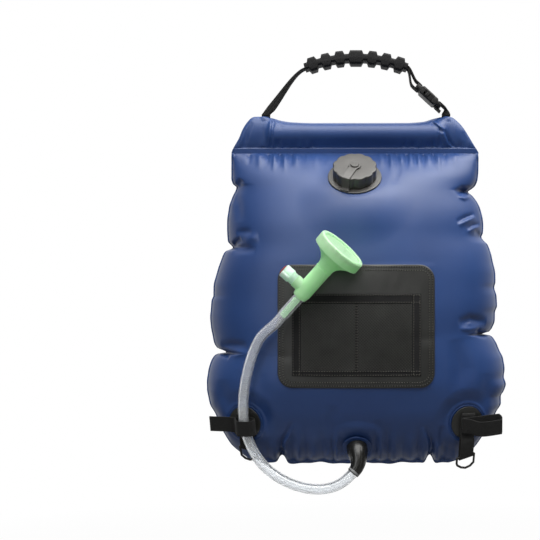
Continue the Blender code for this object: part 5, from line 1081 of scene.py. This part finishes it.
def on_film(x, z, lift):
    """A place above the front film, along the film's own slope."""
    step = 0.0008
    x, z = np.asarray(x, float), np.asarray(z, float)
    slope_x = (front_depth(x + step, z) - front_depth(x - step, z)) / (2 * step)
    slope_z = (front_depth(x, z + step) - front_depth(x, z - step)) / (2 * step)
    normal = np.stack([-slope_x, -np.ones_like(x), -slope_z], -1)
    normal /= np.linalg.norm(normal, axis=-1, keepdims=True)
    return np.stack([x, -front_depth(x, z) - SKIN, z], -1) + normal * np.asarray(lift)[..., None]


def laid(name, box, corner, lift, material, node, grid, thickness=0.0009, edge=0.0006, wave=None):
    """A sheet on the front film, with rolled edges. box is its middle, width and height."""
    x, z, width, height = box
    columns, rows = grid
    v = np.linspace(-1, 1, rows + 1)
    v = np.sign(v) * (1 - (1 - np.abs(v)) ** 1.6) if corner else v
    inset = np.clip((np.abs(v) * height / 2 - (height / 2 - corner)) / max(corner, 1e-6), 0, 1)
    reach = width / 2 - corner * (1 - np.sqrt(np.maximum(1 - inset**2, 0)))
    u = np.linspace(-1, 1, columns + 1)
    u = np.sign(u) * (1 - (1 - np.abs(u)) ** 1.5)
    X = x + u[None, :] * reach[:, None]
    Z = z - (v * height / 2)[:, None] * np.ones_like(X)
    qx = np.abs(X - x) - (width / 2 - corner)
    qz = np.abs(Z - z) - (height / 2 - corner)
    outside = np.hypot(np.maximum(qx, 0), np.maximum(qz, 0)) + np.minimum(np.maximum(qx, qz), 0)
    inward = np.clip((corner - outside) / edge, 0, 1)
    face = lift + thickness * (0.25 + 0.75 * np.sqrt(1 - (1 - inward) ** 2))
    if wave is not None:
        face = face + wave(X, Z) * inward
    front, back = on_film(X, Z, face), on_film(X, Z, np.full(X.shape, lift))
    n, m = X.shape
    points = np.concatenate([front.reshape(-1, 3), back.reshape(-1, 3)])
    faces = sheet_faces(n, m)
    faces += [tuple(i + n * m for i in reversed(f)) for f in faces]
    rim = list(range(m)) + [r * m + m - 1 for r in range(1, n)]
    rim += [(n - 1) * m + c for c in range(m - 2, -1, -1)] + [r * m for r in range(n - 2, 0, -1)]
    faces += [(b, a, a + n * m, b + n * m) for a, b in zip(rim, rim[1:] + rim[:1])]
    uvs = np.tile(np.stack([X.ravel(), Z.ravel()], 1), (2, 1))
    corners = [uvs[list(face)] for face in faces]
    mesh_piece(name, points, faces, material, "bag", (node,), 60, corners=corners)


# Middle, width and height
PANEL = (0.0002, -0.311, 0.180, 0.141)
PANEL_CORNER = 0.017
NETS = (0.0006, -0.3208, 0.147, 0.094)
NET_PITCH = 0.0034
# radius of the dark disc painted as the shade in a needle hole
HOLE_SHADE_RADIUS = 0.00062


def net_shape(name, low, high, bottom, top, node):
    """Open net: threads round holes in diamond order, over a slightly full pocket."""
    half = NET_PITCH / 2
    points, faces, index = [], [], {}

    def ring(cx, cz, reach, reach_between):
        out = []
        for k in range(8):
            angle, r = math.pi * k / 4, (reach, reach_between)[k % 2]
            x, z = cx + r * math.cos(angle), cz + r * math.sin(angle)
            out.append((min(max(x, low), high), min(max(z, bottom), top)))
        return out

    def add(place):
        key = tuple(round(c * 1e7) for c in place)
        if key not in index:
            index[key] = len(points)
            points.append(place)
        return index[key]

    columns = int((high - low) / NET_PITCH * 2) + 2
    rows = int((top - bottom) / NET_PITCH * 2) + 2
    for r in range(rows + 1):
        for c in range(r % 2, columns + 1, 2):
            centre = low + c * half, bottom + r * half
            outer = ring(*centre, half, half * math.sqrt(0.5))
            inner = ring(*centre, NET_PITCH * 0.30, NET_PITCH * 0.30)
            if any(max(row) - min(row) < half * 0.9 for row in zip(*outer)):
                continue
            for k in range(8):
                n = (k + 1) % 8
                quad = list(dict.fromkeys(add(p) for p in (outer[k], outer[n], inner[n], inner[k])))
                if len(quad) > 2:
                    faces.append(tuple(quad))
    x, z = np.array(points).T
    full = np.sin(np.pi * (x - low) / (high - low)) * np.sin(np.pi * (z - bottom) / (top - bottom))
    place = on_film(x, z, 0.0016 + 0.0016 * full)
    piece = mesh_piece(name, place, faces, NET, "bag", (node,), 180, fix=False)
    thick = piece.modifiers.new("thread", "SOLIDIFY")
    thick.thickness = 0.0005
    thick.offset = 0


def stitch_rows(name, rows, length=0.0018, gap=0.0011, half=0.00036):
    """Rows of lockstitches along lines of (x, z, height above the film), with a dark disc painted as the
    shade in each needle hole between them.
    """
    points, faces, holes, hole_shade_faces = [], [], [], []

    def ring(centre, radius, across, up, count):
        angles = (2 * math.pi * k / count for k in range(count))
        return [centre + radius * (across * math.cos(angle) + up * math.sin(angle)) for angle in angles]

    for row in rows:
        row = np.array(row, float)
        steps = np.hypot(*np.diff(row[:, :2], axis=0).T)
        total = steps.sum()
        along = np.concatenate(([0], np.cumsum(steps)))
        number = int(total / (length + gap))
        for i in range(number):
            at = (i + 0.5) * total / number - length / 2 + length * np.array([0, 0.18, 0.82, 1])
            px, pz, ph = (np.interp(at, along, row[:, axis]) for axis in range(3))
            spine = on_film(px, pz, ph)
            up = on_film(px, pz, ph + 0.001) - spine
            up /= np.linalg.norm(up, axis=1, keepdims=True)
            run = spine[-1] - spine[0]
            run /= np.linalg.norm(run)
            # a dark disc just under the thread at each needle hole stands as painted shade
            hole = spine[0] - run * gap / 2 - up[0] * 0.0001
            holes += ring(hole, HOLE_SHADE_RADIUS, run, np.cross(run, up[0]), 8)
            hole_shade_faces.append(tuple(range(len(holes) - 8, len(holes))))
            stitch, stitch_faces = capped([
                ring(spine[j] + up[j] * half * sink, half * size, np.cross(run, up[j]), up[j], 6)
                for j, (size, sink) in enumerate(((0.35, -0.5), (1, 0.55), (1, 0.55), (0.35, -0.5)))])
            faces += [tuple(len(points) + i for i in face) for face in stitch_faces]
            points += stitch
    # the dark discs painted as the shade in the needle holes
    mesh_piece(name + "_painted_hole_shade", holes, hole_shade_faces, RUBBER, "bag", (), 180)
    mesh_piece(name, points, faces, THREAD, "bag", (), 180)


def round_outline(box, corner, inset, lift):
    """A closed row of places inside a rounded rectangle."""
    x, z, width, height = box
    w, h, c = width / 2 - inset, height / 2 - inset, corner - inset
    row = []
    for cx, cz, start in ((w - c, h - c, 0), (c - w, h - c, 90), (c - w, c - h, 180), (w - c, c - h, 270)):
        for k in range(9):
            angle = math.radians(start + 90 * k / 8)
            row.append((x + cx + c * math.cos(angle), z + cz + c * math.sin(angle)))
    dense = [place for a, b in zip(row, row[1:] + row[:1]) for place in straight_row(*a, *b, lift, 12)[:-1]]
    return dense + [(*row[0], lift)]


def straight_row(ax, az, bx, bz, lift, steps=24):
    return [(ax + (bx - ax) * k / steps, az + (bz - az) * k / steps, lift) for k in range(steps + 1)]


def panel_slack(x, z):
    """The vinyl lies a little uneven."""
    return 0.0004 * np.sin(x * 95 + 2) * np.sin(z * 80) + 0.00005 * np.sin(x * 420 - z * 150)


def build_panel():
    laid("panel_skin", PANEL, PANEL_CORNER, 0.0001, VINYL, "pocket_panel", (120, 96), 0.0011, 0.0016,
         panel_slack)
    x, z, width, height = NETS
    left, right, top, bottom = x - width / 2, x + width / 2, z + height / 2, z - height / 2
    side, cover, foot, split = 0.0104, 0.0118, 0.0070, 0.0030
    net_top, net_bottom = top - cover, bottom + foot
    tuck = 0.001
    for way, name in ((-1, "left"), (1, "right")):
        ends = sorted((x + way * (width / 2 - side + tuck), x + way * (split / 2 - 0.0006)))
        net_shape("net_" + name, *ends, net_bottom - tuck, net_top + tuck, "net_pocket_" + name)
    lift, on = 0.0013, 0.0023
    across = width - 2 * side
    laid("binding_top", (x, top - cover / 2, across, cover), 0, lift, BINDING, "pocket_top_binding", (60, 8))
    laid("binding_bottom", (x, bottom + foot / 2, across, foot), 0, lift, BINDING, "pocket_bottom_binding",
         (60, 8))
    for way, name in ((-1, "left"), (1, "right")):
        laid("binding_" + name, (x + way * (width - side) / 2, z, side, height), 0, lift + 0.0002, BINDING,
             "pocket_" + name + "_binding", (10, 48))
    laid("divider_tape", (x, (net_top + net_bottom) / 2, split, net_top - net_bottom), 0, lift + 0.0004,
         BINDING, "pocket_divider", (6, 40))
    rows = [[(px, pz, above + panel_slack(px, pz)) for px, pz, above in
             round_outline(PANEL, PANEL_CORNER, inset, 0.0014)] for inset in (0.0028, 0.0066)]
    for level in (top - 0.0016, top - 0.0098, bottom + 0.0014, bottom + 0.0056):
        rows.append(straight_row(left + 0.001, level, right - 0.001, level, on + 0.0002))
    for place in (left + 0.0016, left + 0.0088, right - 0.0016, right - 0.0088):
        rows.append(straight_row(place, top - 0.001, place, bottom + 0.001, on + 0.0002))
    rows += [straight_row(x + d, net_top, x + d, net_bottom, on + 0.0004) for d in (-0.0007, 0.0007)]
    stitch_rows("pocket_stitches", rows)


build_panel()


# Corner patches with their straps and D-rings

# Thicknesses, the radius of a D-ring's wire, and the height of a ribbon's middle over its patch
RIBBON, PATCH, RING_WIRE = 0.0014, 0.0025, 0.0014
OVER_PATCH = PATCH + 0.0006 + RIBBON * 1.5
# Between ribbons, and round a wire or the hose
GAP, SLACK = 0.0003, 0.0005


def ribbon_stations(place, path, width, across, skew=None):
    """Stations of a ribbon from points (place, height, shift) in a seat's frame. It lies along the frame's
    x, or across it along y, where skew slants it."""
    line = [Vector((s, p, h)) if across else Vector((p, s, h)) for p, h, s in path]
    dense = curve_through(line, 5)
    turn = place.to_3x3()
    out = []
    for i, (centre, run) in enumerate(zip(dense, headings(dense))):
        if across:
            slant = float(np.interp(min(i / 5, len(path) - 1), range(len(path)), skew))
            wide, flat, axis = Vector((-1, -slant, 0)), Vector((0, run.y, run.z)), Vector((1, 0, 0))
        else:
            wide, flat, axis = Vector((0, 1, 0)), Vector((run.x, 0, run.z)), Vector((0, 1, 0))
        side = flat.normalized().cross(axis)
        out.append((place @ centre, turn @ wide * (width / 2), turn @ side * (RIBBON / 2), 0.0))
    return out


def arc(degrees, reach, place, height, tilt=1):
    """Points (place, height) on part of a circle in a seat's frame."""
    angles = [math.radians(d) for d in degrees]
    return [(place + tilt * reach * math.cos(a), height + reach * math.sin(a)) for a in angles]


def build_corner(name, seat, side, reach, turn_deg):
    place = seat.frame
    refined("patch_" + name, "bag", VINYL, 0.0005, 3)
    bar = PATCH + GAP + RIBBON + SLACK + RING_WIRE
    wrap = RING_WIRE + SLACK + RIBBON / 2
    path = [(0.0120, OVER_PATCH), (-0.0115, OVER_PATCH), (-0.0225, bar + wrap), (-reach, bar + wrap)]
    path += arc((60, 30, 0, -30, -60), wrap, -reach, bar, -1)
    path += [(-reach, bar - wrap), (-0.0115, bar - wrap), (0.0120, bar - wrap)]
    skew = [side * 0.3 * float(smooth((-p - 0.0115) / 0.0110)) for p, h in path]
    turned_place = place @ Matrix.Rotation(math.radians(turn_deg), 4, "Z")
    stations = ribbon_stations(turned_place, [(p, h, 0) for p, h in path], 0.0162, True, skew)
    band("dring_tape_" + name, stations, WEBBING, "bag", ("dring_strap_" + name,))
    refined("dring_" + name, "ring_" + name, BLACK, 0.0005, 3)
    bead = rounded(((0.0202, 0.0004), (0.0214, 0.0004), (0.0214, 0.0014), (0.0202, 0.0014)), 0.0005)
    turned("patch_weld_" + name, place, bead, FILM, "bag")


def build_straps():
    build_corner("left", LEFT_SEAT, -1, 0.0290, 7)
    build_corner("right", RIGHT_SEAT, 1, 0.0390, 0)
    base = OVER_PATCH + RIBBON + GAP
    closed = base + RIBBON + GAP
    lowered = Matrix.Translation((0, -0.0010, 0))
    # round the hose and back on itself
    reach = HOSE_RADIUS + SLACK + RIBBON / 2
    low, high = base + reach, base + reach + 0.0018
    right, left = 0.0062 + 0.0034, 0.0062 - 0.0034
    path = [(-0.0425, base), (-0.0155, base), (right, base)]
    path += arc((-60, -30, 0), reach, right, low) + arc((30, 60, 90), reach, right, high)
    path += arc((90, 120, 150), reach, left, high)
    fall = (path[-1][1] - closed) * math.tan(math.radians(30))
    path += [(path[-1][0] - fall, closed), (-0.0155, closed)]
    stations = ribbon_stations(LEFT_SEAT.frame @ lowered, [(p, h, 0) for p, h in path], 0.018, False)
    band("hose_tape_left", stations, WEBBING, "bag", ("hose_strap_left",))
    # closed on itself, its upper half sagging
    bend = (0.0058 + RIBBON) / 2
    far, sag = 0.0403, 0.0050
    slope = far * 0.34
    path = [(-0.0080, base, 0), (slope, base, 0), (far - bend, base, 0)]
    path += [(p, h, -sag * (1 + (h - base - bend) / bend) / 2)
             for p, h in arc((-60, -30, 0, 30, 60), bend, far - bend, base + bend)]
    path += [(far - bend, base + 2 * bend, -sag), (slope, base + 2 * bend, -sag)]
    path += [(0, closed + bend / 4, -sag / 4), (-0.0080, closed, 0)]
    place = RIGHT_SEAT.frame @ lowered @ Matrix.Rotation(math.radians(5), 4, "Z")
    band("hose_tape_right", ribbon_stations(place, path, 0.018, False), WEBBING, "bag", ("hose_strap_right",))


build_straps()


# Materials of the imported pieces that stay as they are

for node, material in (("hanger_tube", TUBE), ("cap_gasket", RUBBER), ("rose_seal", RUBBER),
                       ("valve_ring", RUBBER), ("valve_plug", PALE_GREEN)):
    slots = nodes[node].data.materials
    for i in range(len(slots)):
        slots[i] = material


# Light, floor and background

# Name, place, target, size, power and colour
LAMPS = (
    ("overhead", (0.02, -0.60, 1.0), (0, -0.05, -0.22), (1.2, 1.6), 31, (1, 0.99, 0.965)),
    ("overhead_right", (0.82, -0.22, 0.92), (0.12, -0.05, -0.15), (0.9, 0.9), 15, (1, 0.99, 0.97)),
    ("front_left", (-1.15, -1.45, 1.2), (0, 0, -0.27), (0.8, 1.1), 6, (0.95, 0.98, 1)),
    ("left_strip", (-0.90, -1.15, 0.0), (0, 0, -0.27), (0.16, 1.2), 2.2, (1, 1, 1)),
    ("right_strip", (1.10, -0.95, -0.05), (0, 0, -0.27), (0.10, 1.2), 0.6, (1, 1, 1)),
    ("front_strip", (-0.05, -2.3, 0.2), (0, 0, -0.3), (0.12, 1.0), 3.5, (1, 1, 1)),
    ("behind", (0.0, 1.3, 0.9), (0, 0, -0.2), (1.8, 0.9), 8, (1, 1, 1)),
)


def background_share(tree, place, low, high):
    """1 for what the camera sees, directly and through glass. In gloss the studio is dark in front."""
    rays = add_node(tree, "LightPath", {}).outputs
    depth = add_node(tree, "SeparateXYZ", {"Vector": place}).outputs["Y"]
    behind = add_node(tree, "MapRange", {"Value": depth, "From Min": low, "From Max": high},
                      interpolation_type="SMOOTHSTEP").outputs["Result"]
    share = add_node(tree, "Math", {0: rays["Is Glossy Ray"], 1: behind}, operation="MULTIPLY").outputs[0]
    for ray in ("Is Camera Ray", "Is Transmission Ray"):
        share = add_node(tree, "Math", {0: share, 1: rays[ray]}, operation="MAXIMUM").outputs[0]
    return share


def mix_surfaces(tree, share, first, second, output):
    mix = add_node(tree, "MixShader", {"Fac": share, 1: first.outputs[0], 2: second.outputs[0]})
    feed(tree, tree.nodes[output], {"Surface": mix.outputs[0]})


def build_world():
    world = bpy.data.worlds.new("studio")
    scene.world = world
    world.use_nodes = True
    tree = world.node_tree
    ambient = tree.nodes["Background"]
    feed(tree, ambient, {"Color": (0.92, 0.96, 1, 1), "Strength": 0.065})
    white = add_node(tree, "Background", {"Color": (1, 1, 1, 1), "Strength": 1.0})
    direction = add_node(tree, "TexCoord", {}).outputs["Generated"]
    mix_surfaces(tree, background_share(tree, direction, -0.15, 0.55), ambient, white, "World Output")


def build_floor():
    mesh = bpy.data.meshes.new("floor")
    reach, level = 6.0, -0.75
    mesh.from_pydata([(-reach, -reach, level), (reach, -reach, level), (reach, reach, level),
                      (-reach, reach, level)], [], [(0, 1, 2, 3)])
    floor = bpy.data.objects.new("floor", mesh)
    scene.collection.objects.link(floor)
    material, tree, shader, place = new_material("pale_floor", (0.22, 0.22, 0.22), 0.9, 0.1)
    mesh.materials.append(material)
    pale = vary_color(tree, shader, noise(tree, place, 3, 3), (0.84, 0.84, 0.84), (0.88, 0.88, 0.88))
    # pale for the camera alone, so that it throws little light back
    camera_ray = add_node(tree, "LightPath", {}).outputs["Is Camera Ray"]
    color = {"A": (0.2, 0.2, 0.2, 1), "B": pale, "Factor": camera_ray}
    feed(tree, shader, {"Base Color": add_node(tree, "Mix", color, data_type="RGBA").outputs["Result"]})
    # the floor keeps the shadow near the object and is plain white further away
    away = add_node(tree, "VectorMath", {0: place}, operation="LENGTH").outputs["Value"]
    plain = add_node(tree, "MapRange", {"Value": away, "From Min": 0.9, "From Max": 1.6, "To Min": 0.87})
    share = add_node(tree, "Math", {0: background_share(tree, place, 0.0, 1.3), 1: plain.outputs["Result"]},
                     operation="MULTIPLY").outputs[0]
    glow = add_node(tree, "Emission", {"Strength": 1.0})
    mix_surfaces(tree, share, shader, glow, "Material Output")


def build_lamps():
    for name, place, target, size, power, color in LAMPS:
        light = bpy.data.lights.new(name, "AREA")
        light.shape = "RECTANGLE"
        light.size, light.size_y = size
        light.energy = power
        light.color = color
        lamp = bpy.data.objects.new(name, light)
        lamp.location = place
        lamp.rotation_euler = (Vector(target) - Vector(place)).to_track_quat("-Z", "Y").to_euler()
        scene.collection.objects.link(lamp)


build_world()
build_floor()
build_lamps()
